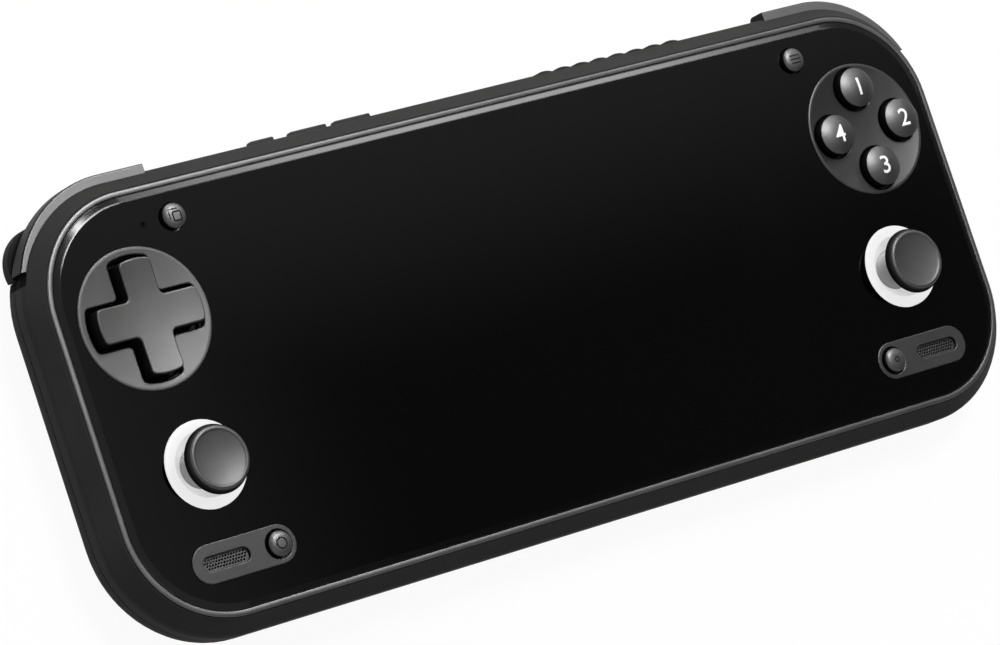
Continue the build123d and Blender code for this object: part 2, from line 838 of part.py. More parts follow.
# Long plates, their speaker grilles and speakers
pill_middle_x = (pill_inner_x + pill_outer_x) / 2
holes_per_row = int(slot_length / mesh_pitch)
mesh_holes = []
for row in range(mesh_rows):
    row_y = (row - (mesh_rows - 1) / 2) * mesh_row_pitch
    half_row = slot_length / 2 - mesh_pitch - slot_width / 2 + sqrt((slot_width / 2) ** 2 - row_y**2)
    for column in range(-holes_per_row, holes_per_row):
        hole_x = (column + (row % 2) / 2) * mesh_pitch
        if abs(hole_x) <= half_row:
            mesh_holes.append((hole_x, row_y))
for side_name, side in SIDES.items():
    with BuildPart() as pill_plate:
        with BuildSketch(level(plate_thickness)):
            with Locations((side * pill_middle_x, pill_row_y)):
                SlotCenterToCenter(pill_length, 2 * pill_radius)
            with Locations((side * pill_inner_x, pill_row_y)):
                Circle(small_radius + small_gap, mode=Mode.SUBTRACT)
            with Locations((side * slot_x, pill_row_y)):
                SlotOverall(slot_length, slot_width, mode=Mode.SUBTRACT)
        extrude(amount=plate_thickness)
        with BuildSketch(level(plate_thickness)):
            with Locations((side * slot_x, pill_row_y)):
                SlotOverall(slot_length + 2 * mesh_margin, slot_width + 2 * mesh_margin)
        extrude(amount=plate_thickness - mesh_recess, mode=Mode.SUBTRACT)
    save(pill_plate, f"{side_name}_pill_plate")

    with BuildPart() as speaker_mesh:
        with BuildSketch(level(plate_thickness)):
            with Locations((side * slot_x, pill_row_y)):
                SlotOverall(slot_length + 2 * (mesh_margin - touch), slot_width + 2 * (mesh_margin - touch))
                SlotOverall(slot_length, slot_width, mode=Mode.SUBTRACT)
        extrude(amount=plate_thickness - mesh_recess)
        with BuildSketch(level(mesh_recess + mesh_thickness)):
            with Locations((side * slot_x, pill_row_y)):
                SlotOverall(slot_length + mesh_margin, slot_width + mesh_margin)
                with Locations(*mesh_holes):
                    Circle(mesh_hole_radius, mode=Mode.SUBTRACT)
        extrude(amount=mesh_thickness)
    save(speaker_mesh, f"{side_name}_speaker_mesh")

    with BuildPart() as speaker:
        with BuildSketch(level(plate_back + speaker_height)):
            with Locations((side * slot_x, pill_row_y)):
                Rectangle(speaker_length, speaker_width)
        extrude(amount=speaker_height)
        fillet(speaker.edges().filter_by(Axis.Z), speaker_width / 4)
        with BuildSketch(level(plate_back)):
            with Locations((side * slot_x, pill_row_y)):
                SlotOverall(slot_length, slot_width)
        extrude(amount=-speaker_height / 4, mode=Mode.SUBTRACT)
    save(speaker, f"{side_name}_speaker")

# Sticks
module_floor_level = gimbal_level + shaft_below + stick_click + moving_gap
module_back = module_floor_level + module_floor
module_inner = module_width - 2 * module_wall
pivot_bore = shaft_radius + fit_gap
yoke_inner = yoke_width - 2 * yoke_wall
trunnion_reach = module_width / 2 - moving_gap
dome_inner = dome_radius - dome_thickness
rim_share = dome_inner / dome_radius
bore_radius = shaft_radius + touch
for side_name, side in SIDES.items():
    x = side * stick_x
    y = stick_row_y
    gimbal = (x, y, face_z - gimbal_level)

    with BuildPart() as light_ring:
        with BuildSketch(level(plate_thickness)):
            with Locations((x, y)):
                Circle(light_radius)
                Circle(light_inner_radius, mode=Mode.SUBTRACT)
        extrude(amount=plate_thickness)
        funnel_edges = light_ring.faces().sort_by(Axis.Z)[-1].edges().sort_by(SortBy.LENGTH)
        chamfer(funnel_edges[0], light_funnel)
    save(light_ring, f"{side_name}_light_ring")

    with BuildPart() as stick_module:
        with BuildSketch(level(module_back)):
            with Locations((x, y)):
                Rectangle(module_width, module_width)
        extrude(amount=module_back - module_level)
        with BuildSketch(level(module_floor_level)):
            with Locations((x, y)):
                Rectangle(module_inner, module_inner)
        extrude(amount=module_floor_level - module_level, mode=Mode.SUBTRACT)
        with BuildSketch(level(board_back + module_flange_thickness)):
            with Locations((x, y)):
                Rectangle(module_width + 2 * module_flange, module_width + 2 * module_flange)
                Rectangle(module_width - module_wall, module_width - module_wall, mode=Mode.SUBTRACT)
        extrude(amount=module_flange_thickness)
        with Locations(Location(gimbal, (0, 90, 0))):
            Cylinder(trunnion_radius + fit_gap, 2 * overrun + module_inner, mode=Mode.SUBTRACT)
    save(stick_module, f"{side_name}_stick_module")

    with BuildPart() as stick_yoke:
        with BuildSketch(level(gimbal_level + gimbal_height / 2)):
            with Locations((x, y)):
                Rectangle(yoke_width, yoke_width)
        extrude(amount=gimbal_height)
        with Locations(Location(gimbal, (0, 90, 0))):
            Cylinder(trunnion_radius, 2 * trunnion_reach)
        with BuildSketch(level(gimbal_level + gimbal_height)):
            with Locations((x, y)):
                Rectangle(yoke_inner, yoke_inner)
        extrude(amount=2 * gimbal_height, mode=Mode.SUBTRACT)
        with Locations(Location(gimbal, (90, 0, 0))):
            Cylinder(pivot_pin_radius + fit_gap, 2 * yoke_width, mode=Mode.SUBTRACT)
    save(stick_yoke, f"{side_name}_stick_yoke")

    with BuildPart() as stick_pivot:
        with BuildSketch(level(gimbal_level + gimbal_height / 2)):
            with Locations((x, y)):
                Rectangle(pivot_width, pivot_width)
        extrude(amount=gimbal_height)
        with Locations(Location(gimbal, (90, 0, 0))):
            Cylinder(pivot_pin_radius, yoke_width - seat_gap)
        with Locations(gimbal):
            Cylinder(pivot_bore, 2 * gimbal_height, mode=Mode.SUBTRACT)
    save(stick_pivot, f"{side_name}_stick_pivot")

    with BuildPart() as stick_shaft:
        with BuildSketch(level(gimbal_level + shaft_below)):
            with Locations((x, y)):
                Circle(shaft_radius)
        extrude(amount=shaft_below + shaft_above)
    save(stick_shaft, f"{side_name}_stick_shaft")

    bore_bottom = (bore_radius, sqrt(dome_inner**2 - bore_radius**2))
    inner_rim = (dome_reach * rim_share, sqrt(dome_radius**2 - dome_reach**2) * rim_share)
    outer_rim = (dome_reach, sqrt(dome_radius**2 - dome_reach**2))
    neck_foot = (neck_radius, sqrt(dome_radius**2 - neck_radius**2))
    rim_top = (cap_rim_radius, gimbal_level + cap_rim_rise)
    dish_bottom = (0, gimbal_level + cap_rim_rise - cap_dish)
    dish_sphere = (cap_rim_radius**2 + cap_dish**2) / (2 * cap_dish)
    with BuildPart() as stick_cap:
        with BuildSketch(Plane(origin=gimbal, x_dir=(1, 0, 0), z_dir=(0, -1, 0))):
            with BuildLine():
                RadiusArc(bore_bottom, inner_rim, dome_inner)
                Line(inner_rim, outer_rim)
                RadiusArc(outer_rim, neck_foot, -dome_radius)
                Polyline(
                    neck_foot,
                    (neck_radius, gimbal_level + cap_under_rise),
                    (cap_under_radius, gimbal_level + cap_under_rise),
                    (cap_radius, gimbal_level + cap_edge_rise),
                    rim_top,
                )
                RadiusArc(rim_top, dish_bottom, dish_sphere)
                Polyline(dish_bottom, (0, shaft_above), (bore_radius, shaft_above), bore_bottom)
            make_face()
        revolve(axis=Axis((x, y, 0), (0, 0, 1)))
    save(stick_cap, f"{side_name}_stick_cap")

# Shoulder buttons
notch_span = half_length + overrun


def corner_area(start_x, end_y):
    """Keep only the corner beyond a place of the open sketch."""
    length = notch_span - start_x
    width = half_width + overrun - end_y
    with Locations((start_x + length / 2, end_y + width / 2)):
        Rectangle(length, width, mode=Mode.INTERSECT)


def pin_ear():
    """Ear round the shoulder pin with its running bore, in the open sketch."""
    with Locations((pin_x, pin_y)):
        Circle(ear_radius)
        Circle(pin_radius + fit_gap, mode=Mode.SUBTRACT)


def rim_arc(builder, face_index, radius):
    """Arc of a radius round the lowest (0) or highest (-1) face of a piece."""
    arcs = builder.faces().sort_by(Axis.Z)[face_index].edges().filter_by(GeomType.CIRCLE)
    return arcs.filter_by(lambda edge: abs(edge.radius - radius) < touch)


with BuildPart() as right_bumper:
    with BuildSketch(level(bumper_back)):
        with Locations((0, bumper_rise)):
            body_outline()
            body_outline(bumper_thickness, mode=Mode.SUBTRACT)
        corner_area(bumper_start_x, bumper_end_y)
        pin_ear()
    extrude(amount=bumper_back - bumper_front)
    fillet(rim_arc(right_bumper, 0, corner_radius), bumper_back_round)
    fillet(rim_arc(right_bumper, -1, corner_radius), bumper_front_round)
save(right_bumper, "right_bumper")

trigger_inner = trigger_inset + trigger_thickness
with BuildPart() as right_trigger:
    with BuildSketch(level(trigger_back)) as lobe_plan:
        body_outline(trigger_inset)
        with Locations((lobe_x, lobe_y)):
            Circle(lobe_radius)
        corner_area(trigger_step_x, trigger_end_y)
        crossing = lobe_plan.vertices().sort_by_distance((lobe_x - lobe_radius / 2, lobe_y + lobe_radius))
        fillet(crossing[0], lobe_blend)
        body_outline(trigger_inner, mode=Mode.SUBTRACT)
    extrude(amount=trigger_back - trigger_front)
    fillet(rim_arc(right_trigger, 0, lobe_radius), trigger_back_round)
    fillet(rim_arc(right_trigger, -1, lobe_radius), trigger_front_round)
    with BuildSketch(level(trigger_step_level)):
        body_outline(trigger_inset)
        body_outline(trigger_inner, mode=Mode.SUBTRACT)
        corner_area(bumper_start_x + moving_gap, trigger_end_y)
        pin_ear()
    extrude(amount=trigger_step_level - trigger_front)
save(right_trigger, "right_trigger")

for piece, label in [(right_bumper, "left_bumper"), (right_trigger, "left_trigger")]:
    with BuildPart() as mirrored:
        add(piece.part.mirror(Plane.YZ))
    save(mirrored, label)

with BuildPart() as shoulder_pins:
    with BuildSketch(level(notch_floor + pin_socket)):
        with Locations(*both(pin_x, pin_y)):
            Circle(pin_radius)
    extrude(amount=notch_floor + 2 * pin_socket - notch_roof)
save(shoulder_pins, "shoulder_pins")

# Leaf springs behind the triggers
spring_foot_y = half_width - notch_width + spring_strip / 2
spring_level = (trigger_front + trigger_step_level) / 2
with BuildPart() as trigger_springs:
    with BuildSketch(level(spring_level + spring_height / 2)):
        with BuildLine():
            Polyline(
                (spring_x - spring_width / 2, spring_foot_y),
                (spring_x, spring_foot_y + spring_rise - spring_strip),
                (spring_x + spring_width / 2, spring_foot_y),
            )
        trace(line_width=spring_strip)
    extrude(amount=spring_height)
    mirror(about=Plane.YZ)
save(trigger_springs, "trigger_springs")

# Keys on the upper edge
key_inner_y = half_width - shell_wall - moving_gap
for label, (key_x, key_length) in keys.items():
    with BuildPart() as edge_key:
        with BuildSketch(level(key_level + key_height / 2)):
            with Locations((key_x, (key_inner_y + half_width + key_rise) / 2)):
                Rectangle(key_length, half_width + key_rise - key_inner_y)
            with Locations((key_x, key_inner_y - key_flange / 2)):
                Rectangle(key_length + 2 * key_flange_side, key_flange)
        extrude(amount=key_height)
        fillet(edge_key.faces().sort_by(Axis.Y)[-1].edges(), key_rise / 2)
    save(edge_key, label)

# Main board with its chip and the switches of the edge keys
main_back = main_level + main_thickness
switch_end_y = key_inner_y - key_flange - key_travel - moving_gap
with BuildPart() as main_board:
    with BuildSketch(level(main_back)):
        with Locations(((main_start_x + main_end_x) / 2, (main_start_y + main_end_y) / 2)):
            Rectangle(main_end_x - main_start_x, main_width)
    extrude(amount=main_thickness)
    with BuildSketch(level(main_back + chip_height)):
        with Locations((chip_x, chip_y)):
            Rectangle(chip_width, chip_width)
        for key_x, key_length in keys.values():
            with Locations((key_x, (switch_end_y + main_end_y - key_switch_depth) / 2)):
                Rectangle(key_length / 2, switch_end_y - main_end_y + key_switch_depth)
    extrude(amount=chip_height)
save(main_board, "main_board")

# Battery
with BuildPart() as battery:
    with BuildSketch(level(frame_back + battery_thickness)):
        with Locations(((main_start_x + main_end_x) / 2, battery_start_y + battery_width / 2)):
            Rectangle(main_end_x - main_start_x, battery_width)
    extrude(amount=battery_thickness)
    fillet(battery.edges().filter_by(Axis.Z), battery_round)
save(battery, "battery")

# Port board, charging socket and headphone socket
port_back = port_board_level + board_thickness
with BuildPart() as port_board:
    with BuildSketch(level(port_back)):
        with Locations((port_board_x, port_board_y)):
            Rectangle(port_board_length, port_board_width)
    extrude(amount=board_thickness)
save(port_board, "port_board")

usb_plane = Plane.XZ.offset(half_width - port_gap)
with BuildPart() as usb_c_socket:
    with BuildSketch(usb_plane):
        with Locations((usb_x, face_z - usb_level)):
            SlotOverall(usb_width, usb_height)
    extrude(amount=-usb_length)
    with BuildSketch(usb_plane):
        with Locations((usb_x, face_z - usb_level)):
            SlotOverall(usb_width - 2 * usb_wall, usb_height - 2 * usb_wall)
            Rectangle(usb_tongue_width, usb_tongue_height, mode=Mode.SUBTRACT)
    extrude(amount=-(usb_length - 2 * usb_wall), mode=Mode.SUBTRACT)
save(usb_c_socket, "usb_c_socket")

jack_plane = Plane.XZ.offset(half_width - shell_wall - seat_gap)
with BuildPart() as audio_jack:
    with BuildSketch(jack_plane):
        with Locations((jack_x, face_z - jack_level)):
            Rectangle(jack_width, jack_height)
    extrude(amount=-jack_length)
    with BuildSketch(jack_plane):
        with Locations((jack_x, face_z - jack_level)):
            Circle(jack_bore_radius)
    extrude(amount=-jack_bore_length, mode=Mode.SUBTRACT)
save(audio_jack, "audio_jack")

# Fan, heat sink and heat pipe
fan_back = frame_back + fan_height
with BuildPart() as fan_housing:
    with BuildSketch(level(fan_back)):
        with Locations((fan_x, fan_y)):
            Rectangle(fan_length, fan_width)
    extrude(amount=fan_height)
    with BuildSketch(level(fan_back - fan_wall)):
        with Locations((fan_x, fan_y)):
            Circle(fan_cavity_radius)
        with Locations((fan_x, fan_y + fan_width / 4)):
            Rectangle(2 * fan_cavity_radius, fan_width / 2)
    extrude(amount=fan_height - 2 * fan_wall, mode=Mode.SUBTRACT)
    with BuildSketch(level(fan_back)):
        with Locations((fan_x, fan_y)):
            Circle(fan_inlet_radius)
    extrude(amount=fan_wall, mode=Mode.SUBTRACT)
    with BuildSketch(level(frame_back + fan_wall + moving_gap + rotor_height)):
        with Locations((fan_x, fan_y)):
            Circle(axle_radius)
    extrude(amount=moving_gap + rotor_height)
save(fan_housing, "fan_housing")

rotor_front = frame_back + fan_wall + moving_gap
with BuildPart() as fan_rotor:
    with BuildSketch(level(rotor_front + rotor_height)):
        with Locations((fan_x, fan_y)):
            Circle(rotor_hub_radius)
            with PolarLocations((rotor_hub_radius + rotor_radius) / 2 - touch, blade_count):
                Rectangle(rotor_radius - rotor_hub_radius, blade_thickness)
    extrude(amount=rotor_height)
    with BuildSketch(level(rotor_front + rotor_web)):
        with Locations((fan_x, fan_y)):
            Circle(rotor_radius)
    extrude(amount=rotor_web)
    with BuildSketch(level(rotor_front + rotor_height)):
        with Locations((fan_x, fan_y)):
            Circle(axle_radius + fit_gap)
    extrude(amount=rotor_height, mode=Mode.SUBTRACT)
save(fan_rotor, "fan_rotor")

pipe_level = main_back + chip_height
fin_count = int(sink_length / fin_pitch)
with BuildPart() as heat_sink:
    with BuildSketch(level(pipe_level)):
        with Locations((fan_x, sink_y)):
            Rectangle(sink_length, sink_width)
    extrude(amount=sink_base)
    with BuildSketch(level(pipe_level - sink_base)):
        with Locations((fan_x, sink_y)):
            with GridLocations(fin_pitch, sink_width, fin_count, 1):
                Rectangle(fin_thickness, sink_width)
    extrude(amount=pipe_level - sink_base - frame_back)
save(heat_sink, "heat_sink")

with BuildPart() as heat_pipe:
    with BuildSketch(level(pipe_level + pipe_height)):
        with BuildLine():
            FilletPolyline(
                (chip_x - chip_width / 2, chip_y),
                (main_end_x - sink_y + chip_y, chip_y),
                (main_end_x, sink_y),
                (fan_x + sink_length / 2, sink_y),
                radius=pipe_bend,
            )
        trace(line_width=pipe_width)
    extrude(amount=pipe_height)
save(heat_pipe, "heat_pipe")

# Screws
with BuildPart() as shell_screws:
    with BuildSketch(level(body_thickness)):
        with Locations(*screw_places):
            Circle(screw_head_radius)
    extrude(amount=screw_head_height)
    with BuildSketch(level(body_thickness - screw_head_height)):
        with Locations(*screw_places):
            Circle(screw_radius)
    extrude(amount=body_thickness - screw_head_height - screw_tip_level)
    with BuildSketch(level(body_thickness)):
        with Locations(*screw_places):
            Rectangle(2 * screw_drive_width, screw_drive_width / 2)
            Rectangle(screw_drive_width / 2, 2 * screw_drive_width)
    extrude(amount=screw_drive_depth, mode=Mode.SUBTRACT)
save(shell_screws, "shell_screws")

# Rubber feet
with BuildPart() as rear_feet:
    with BuildSketch(level(face_z)):
        with Locations(*foot_places):
            SlotOverall(foot_length - 2 * seat_gap, foot_width - 2 * seat_gap)
    extrude(amount=foot_rise + foot_seat)
save(rear_feet, "rear_feet")
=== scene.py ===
"""Looks of the handheld game console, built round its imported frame.

Every piece is in metres in the frame of the solids: X runs along the body, Y towards the
shoulder buttons and Z out of the screen. The console lies on its back on a pale floor. Sizes
in the classes are millimetres, and heights are measured from the face, which is the top of the
two round control plates.
"""

import json
import logging
import math
from dataclasses import dataclass
from enum import Enum
from typing import Any, Callable, Sequence

import bmesh
import bpy
from mathutils import Matrix, Vector


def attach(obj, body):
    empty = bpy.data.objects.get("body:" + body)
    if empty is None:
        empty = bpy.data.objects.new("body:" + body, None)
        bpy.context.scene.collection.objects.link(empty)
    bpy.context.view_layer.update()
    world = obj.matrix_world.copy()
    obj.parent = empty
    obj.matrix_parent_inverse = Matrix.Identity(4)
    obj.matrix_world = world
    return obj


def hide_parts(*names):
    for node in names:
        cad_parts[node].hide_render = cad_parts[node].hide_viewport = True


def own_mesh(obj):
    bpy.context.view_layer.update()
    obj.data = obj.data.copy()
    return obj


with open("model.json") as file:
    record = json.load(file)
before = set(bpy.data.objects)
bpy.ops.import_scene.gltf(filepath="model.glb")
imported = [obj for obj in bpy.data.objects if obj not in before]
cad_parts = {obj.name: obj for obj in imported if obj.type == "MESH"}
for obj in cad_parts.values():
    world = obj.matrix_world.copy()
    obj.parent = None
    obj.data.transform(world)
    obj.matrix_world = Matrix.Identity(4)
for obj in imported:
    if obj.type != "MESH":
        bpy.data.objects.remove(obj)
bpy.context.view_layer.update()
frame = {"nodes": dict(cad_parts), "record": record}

log = logging.getLogger("console")

Point = tuple[float, float]
Range = tuple[float, float]
Direction = tuple[float, float, float]
Colour = tuple[float, float, float, float]

MM = 0.001
FACE = 16.8

# Places that several pieces share, on the right half.
CORNER = (97.5, 24.25)
PLATE_X = 100.0
ROW_Y = 19.3725
BUTTON_SPACING = 9.75
BUTTON_PLACES: dict[str, Point] = {
    "top": (PLATE_X, ROW_Y + BUTTON_SPACING),
    "right": (PLATE_X + BUTTON_SPACING, ROW_Y),
    "bottom": (PLATE_X, ROW_Y - BUTTON_SPACING),
    "left": (PLATE_X - BUTTON_SPACING, ROW_Y),
}
UPPER_Y = 39.26775
LOWER_BUTTON = (86.05, -35.12675)

# Fineness of the meshes and materials.
EDGE_STEPS = 2
SHARP_ANGLE = 32.0
BEVEL_SAMPLES = 6
CLOUD_DETAIL = 3.0


class Side(Enum):
    """Left or right half of the console, seen from the screen."""

    LEFT = -1
    RIGHT = 1

    @property
    def word(self) -> str:
        """Start of the names of the pieces on this side."""
        return self.name.lower()


class Value:
    """A number in a material's tree that takes part in Python arithmetic."""

    def __init__(self, tree: bpy.types.NodeTree, socket: bpy.types.NodeSocket) -> None:
        """Wrap an output socket of a tree."""
        self.tree = tree
        self.socket = socket

    def math(self, operation: str, *others: "Value | float") -> "Value":
        """Add a Math node whose first operand is this value.

        Args:
            operation: The node's operation.
            *others: Values or plain numbers for its other sockets, in order.

        Returns:
            The node's result.
        """
        return self.combine(operation, self, *others)

    def combine(self, operation: str, *operands: "Value | float") -> "Value":
        """Add a Math node.

        Args:
            operation: The node's operation.
            *operands: Values or plain numbers for its sockets, in order.

        Returns:
            The node's result.
        """
        node = self.tree.nodes.new("ShaderNodeMath")
        node.operation = operation
        for socket, operand in zip(node.inputs, operands):
            if isinstance(operand, Value):
                self.tree.links.new(operand.socket, socket)
            else:
                socket.default_value = operand
        return Value(self.tree, node.outputs[0])

    def __add__(self, other: "Value | float") -> "Value":
        """Sum."""
        return self.math("ADD", other)

    def __radd__(self, other: float) -> "Value":
        """Sum with a plain number first."""
        return self.combine("ADD", other, self)

    def __sub__(self, other: "Value | float") -> "Value":
        """Difference."""
        return self.math("SUBTRACT", other)

    def __rsub__(self, other: float) -> "Value":
        """Difference with a plain number first."""
        return self.combine("SUBTRACT", other, self)

    def __mul__(self, other: "Value | float") -> "Value":
        """Product."""
        return self.math("MULTIPLY", other)

    def __rmul__(self, other: float) -> "Value":
        """Product with a plain number first."""
        return self.combine("MULTIPLY", other, self)

    def __gt__(self, other: "Value | float") -> "Value":
        """One where this value is the larger, elsewhere zero."""
        return self.math("GREATER_THAN", other)

    def __lt__(self, other: "Value | float") -> "Value":
        """One where this value is the smaller, elsewhere zero."""
        return self.math("LESS_THAN", other)

    def root(self) -> "Value":
        """Square root."""
        return self.math("SQRT")

    def above(self, low: float, high: float) -> "Value":
        """Smooth step.

        Args:
            low: Value up to which it is zero.
            high: Value from which it is one.

        Returns:
            The step.
        """
        node = self.tree.nodes.new("ShaderNodeMapRange")
        node.interpolation_type = "SMOOTHSTEP"
        self.tree.links.new(self.socket, node.inputs["Value"])
        node.inputs["From Min"].default_value = low
        node.inputs["From Max"].default_value = high
        return Value(self.tree, node.outputs["Result"])


def patches(cloud: Value, fine: Value, cloud_share: float, contrast: float) -> Value:
    """Blotches from zero to one, out of a coarse and a fine noise.

    Args:
        cloud: The coarse noise.
        fine: The fine noise.
        cloud_share: Share of the coarse one in their sum.
        contrast: Distance from one half at which a blotch is full.

    Returns:
        The blotches.
    """
    return (cloud * cloud_share + fine * (1 - cloud_share)).above(0.5 - contrast, 0.5 + contrast)


def varied(level: float, *noises: tuple[Value, float]) -> Value | float:
    """Raise and lower a level by noises.

    Args:
        level: The level.
        *noises: Each noise, with twice the most that it may move the level.

    Returns:
        The varied level.
    """
    for noise, amount in noises:
        level = level + (noise - 0.5) * amount
    return level


def grey(level: float, warmth: float = 0.0) -> Colour:
    """Linear grey with a trace of warmth, or of blue where warmth is negative."""
    return (level * (1 + warmth), level, level * (1 - warmth), 1.0)


class Recipe:
    """Tree of one material, or of the world, from its first node to its output."""

    def __init__(self, owner: bpy.types.Material | bpy.types.World) -> None:
        """Empty the owner's tree.

        Args:
            owner: The material or the world.
        """
        self.owner = owner
        owner.use_nodes = True
        self.tree = owner.node_tree
        self.tree.nodes.clear()

    @classmethod
    def of(cls, name: str) -> "Recipe":
        """Start a new material."""
        return cls(bpy.data.materials.new(name))

    def node(
        self,
        kind: str,
        settings: dict[str, Any] | None = None,
        inputs: dict[str | int, Any] | None = None,
    ) -> bpy.types.Node:
        """Add a node.

        Args:
            kind: The node's type.
            settings: Its own settings, which are set first.
            inputs: Values or links of its sockets, by name or number.

        Returns:
            The node.
        """
        node = self.tree.nodes.new(kind)
        for name, value in (settings or {}).items():
            setattr(node, name, value)
        for name, value in (inputs or {}).items():
            socket = node.inputs[name]
            if isinstance(value, Value):
                self.tree.links.new(value.socket, socket)
            elif isinstance(value, bpy.types.NodeSocket):
                self.tree.links.new(value, socket)
            else:
                socket.default_value = value
        return node

    def place(self) -> bpy.types.NodeSocket:
        """Position on the part, in metres."""
        return self.node("ShaderNodeTexCoord").outputs["Object"]

    def noise(
        self, size: float, detail: float = 2.0, stretch: Direction = (1.0, 1.0, 1.0)
    ) -> Value:
        """Cloudy noise.

        Args:
            size: Size of its blotches in millimetres.
            detail: Number of finer layers.
            stretch: Share of the frequency that is kept along each axis.

        Returns:
            A value round one half.
        """
        scaled = self.node("ShaderNodeMapping", inputs={"Vector": self.place(), "Scale": stretch})
        node = self.node(
            "ShaderNodeTexNoise",
            inputs={"Vector": scaled.outputs[0], "Scale": 1 / (size * MM), "Detail": detail},
        )
        return Value(self.tree, node.outputs[0])

    def axis(self, letter: str, source: bpy.types.NodeSocket | None = None) -> Value:
        """One coordinate of the position, or of another vector."""
        node = self.node("ShaderNodeSeparateXYZ", inputs={"Vector": source or self.place()})
        return Value(self.tree, node.outputs[letter])

    def normal(self) -> bpy.types.NodeSocket:
        """The surface's own normal."""
        return self.node("ShaderNodeNewGeometry").outputs["Normal"]

    def facing(self, letter: str) -> Value:
        """One coordinate of the surface's normal."""
        return self.axis(letter, self.normal())

    def mix(self, factor: Value, first: Any, second: Any) -> bpy.types.NodeSocket:
        """Colour between two, by a factor."""
        node = self.node(
            "ShaderNodeMix", {"data_type": "RGBA"}, {"Factor": factor, 6: first, 7: second}
        )
        return node.outputs[2]

    def blend(self, factor: Value, first: Any, second: Any) -> bpy.types.NodeSocket:
        """Vector between two, by a factor."""
        node = self.node(
            "ShaderNodeMix", {"data_type": "VECTOR"}, {"Factor": factor, 4: first, 5: second}
        )
        return node.outputs[1]

    def soft_edge(self, radius: float) -> bpy.types.NodeSocket:
        """Normal that rounds sharp edges by a radius in millimetres."""
        node = self.node("ShaderNodeBevel", {"samples": BEVEL_SAMPLES}, {"Radius": radius * MM})
        return node.outputs["Normal"]

    def bump(
        self, height: Value, depth: float, normal: bpy.types.NodeSocket | None = None
    ) -> bpy.types.NodeSocket:
        """Normal disturbed by a height between zero and one.

        Args:
            height: The height field.
            depth: Its full height in millimetres.
            normal: Normal that it is added to.

        Returns:
            The new normal.
        """
        inputs: dict[str | int, Any] = {"Height": height, "Distance": depth * MM}
        if normal is not None:
            inputs["Normal"] = normal
        return self.node("ShaderNodeBump", inputs=inputs).outputs["Normal"]

    def finish(self, **sockets: Any) -> bpy.types.Material:
        """Close the tree with one shader.

        Args:
            **sockets: Its sockets, with underscores for the spaces in their names.

        Returns:
            The finished material.
        """
        inputs = {name.replace("_", " "): value for name, value in sockets.items()}
        shader = self.node("ShaderNodeBsdfPrincipled", inputs=inputs)
        self.node("ShaderNodeOutputMaterial", inputs={"Surface": shader.outputs[0]})
        return self.owner


@dataclass(frozen=True)
class Moulded:
    """Moulded plastic or rubber: spark-eroded grain, faint mottle and handled edges."""

    name: str
    tone: float
    roughness: float
    specular: float = 0.35
    grain: float = 0.22
    grain_depth: float = 0.006
    edge: float = 0.18
    warmth: float = 0.01
    cloud_size: float = 14.0
    cloud_share: float = 0.7
    contrast: float = 0.25
    mottle: float = 0.12
    cloud_dulling: float = 0.10
    grain_dulling: float = 0.08

    def build(self) -> bpy.types.Material:
        """Build the material.

        Returns:
            The material.
        """
        recipe = Recipe.of(self.name)
        cloud = recipe.noise(self.cloud_size, CLOUD_DETAIL)
        speck = recipe.noise(self.grain)
        base = recipe.mix(
            patches(cloud, speck, self.cloud_share, self.contrast),
            grey(self.tone * (1 - self.mottle), self.warmth),
            grey(self.tone * (1 + self.mottle), self.warmth),
        )
        dulling = ((cloud, self.cloud_dulling), (speck, self.grain_dulling))
        return recipe.finish(
            Base_Color=base,
            Roughness=varied(self.roughness, *dulling),
            Specular_IOR_Level=self.specular,
            Normal=recipe.bump(speck, self.grain_depth, recipe.soft_edge(self.edge)),
        )


@dataclass(frozen=True)
class Metal:
    """Bare, anodised or painted metal: fine lines along one axis and a cloudy shine."""

    name: str
    colour: Colour
    roughness: float
    metallic: float = 1.0
    line: float = 0.12
    line_depth: float = 0.002
    stretch: Direction = (0.04, 1.0, 1.0)
    edge: float = 0.12
    cloud_size: float = 9.0
    cloud_share: float = 0.6
    contrast: float = 0.2
    darkest_share: float = 0.86
    dulling: float = 0.08

    def build(self) -> bpy.types.Material:
        """Build the material.

        Returns:
            The material.
        """
        recipe = Recipe.of(self.name)
        cloud = recipe.noise(self.cloud_size, CLOUD_DETAIL)
        lines = recipe.noise(self.line, stretch=self.stretch)
        darker = tuple(c * self.darkest_share for c in self.colour[:3]) + (1.0,)
        mottle = patches(cloud, lines, self.cloud_share, self.contrast)
        return recipe.finish(
            Base_Color=recipe.mix(mottle, darker, self.colour),
            Metallic=self.metallic,
            Roughness=varied(self.roughness, (cloud, self.dulling), (lines, self.dulling)),
            Normal=recipe.bump(lines, self.line_depth, recipe.soft_edge(self.edge)),
        )


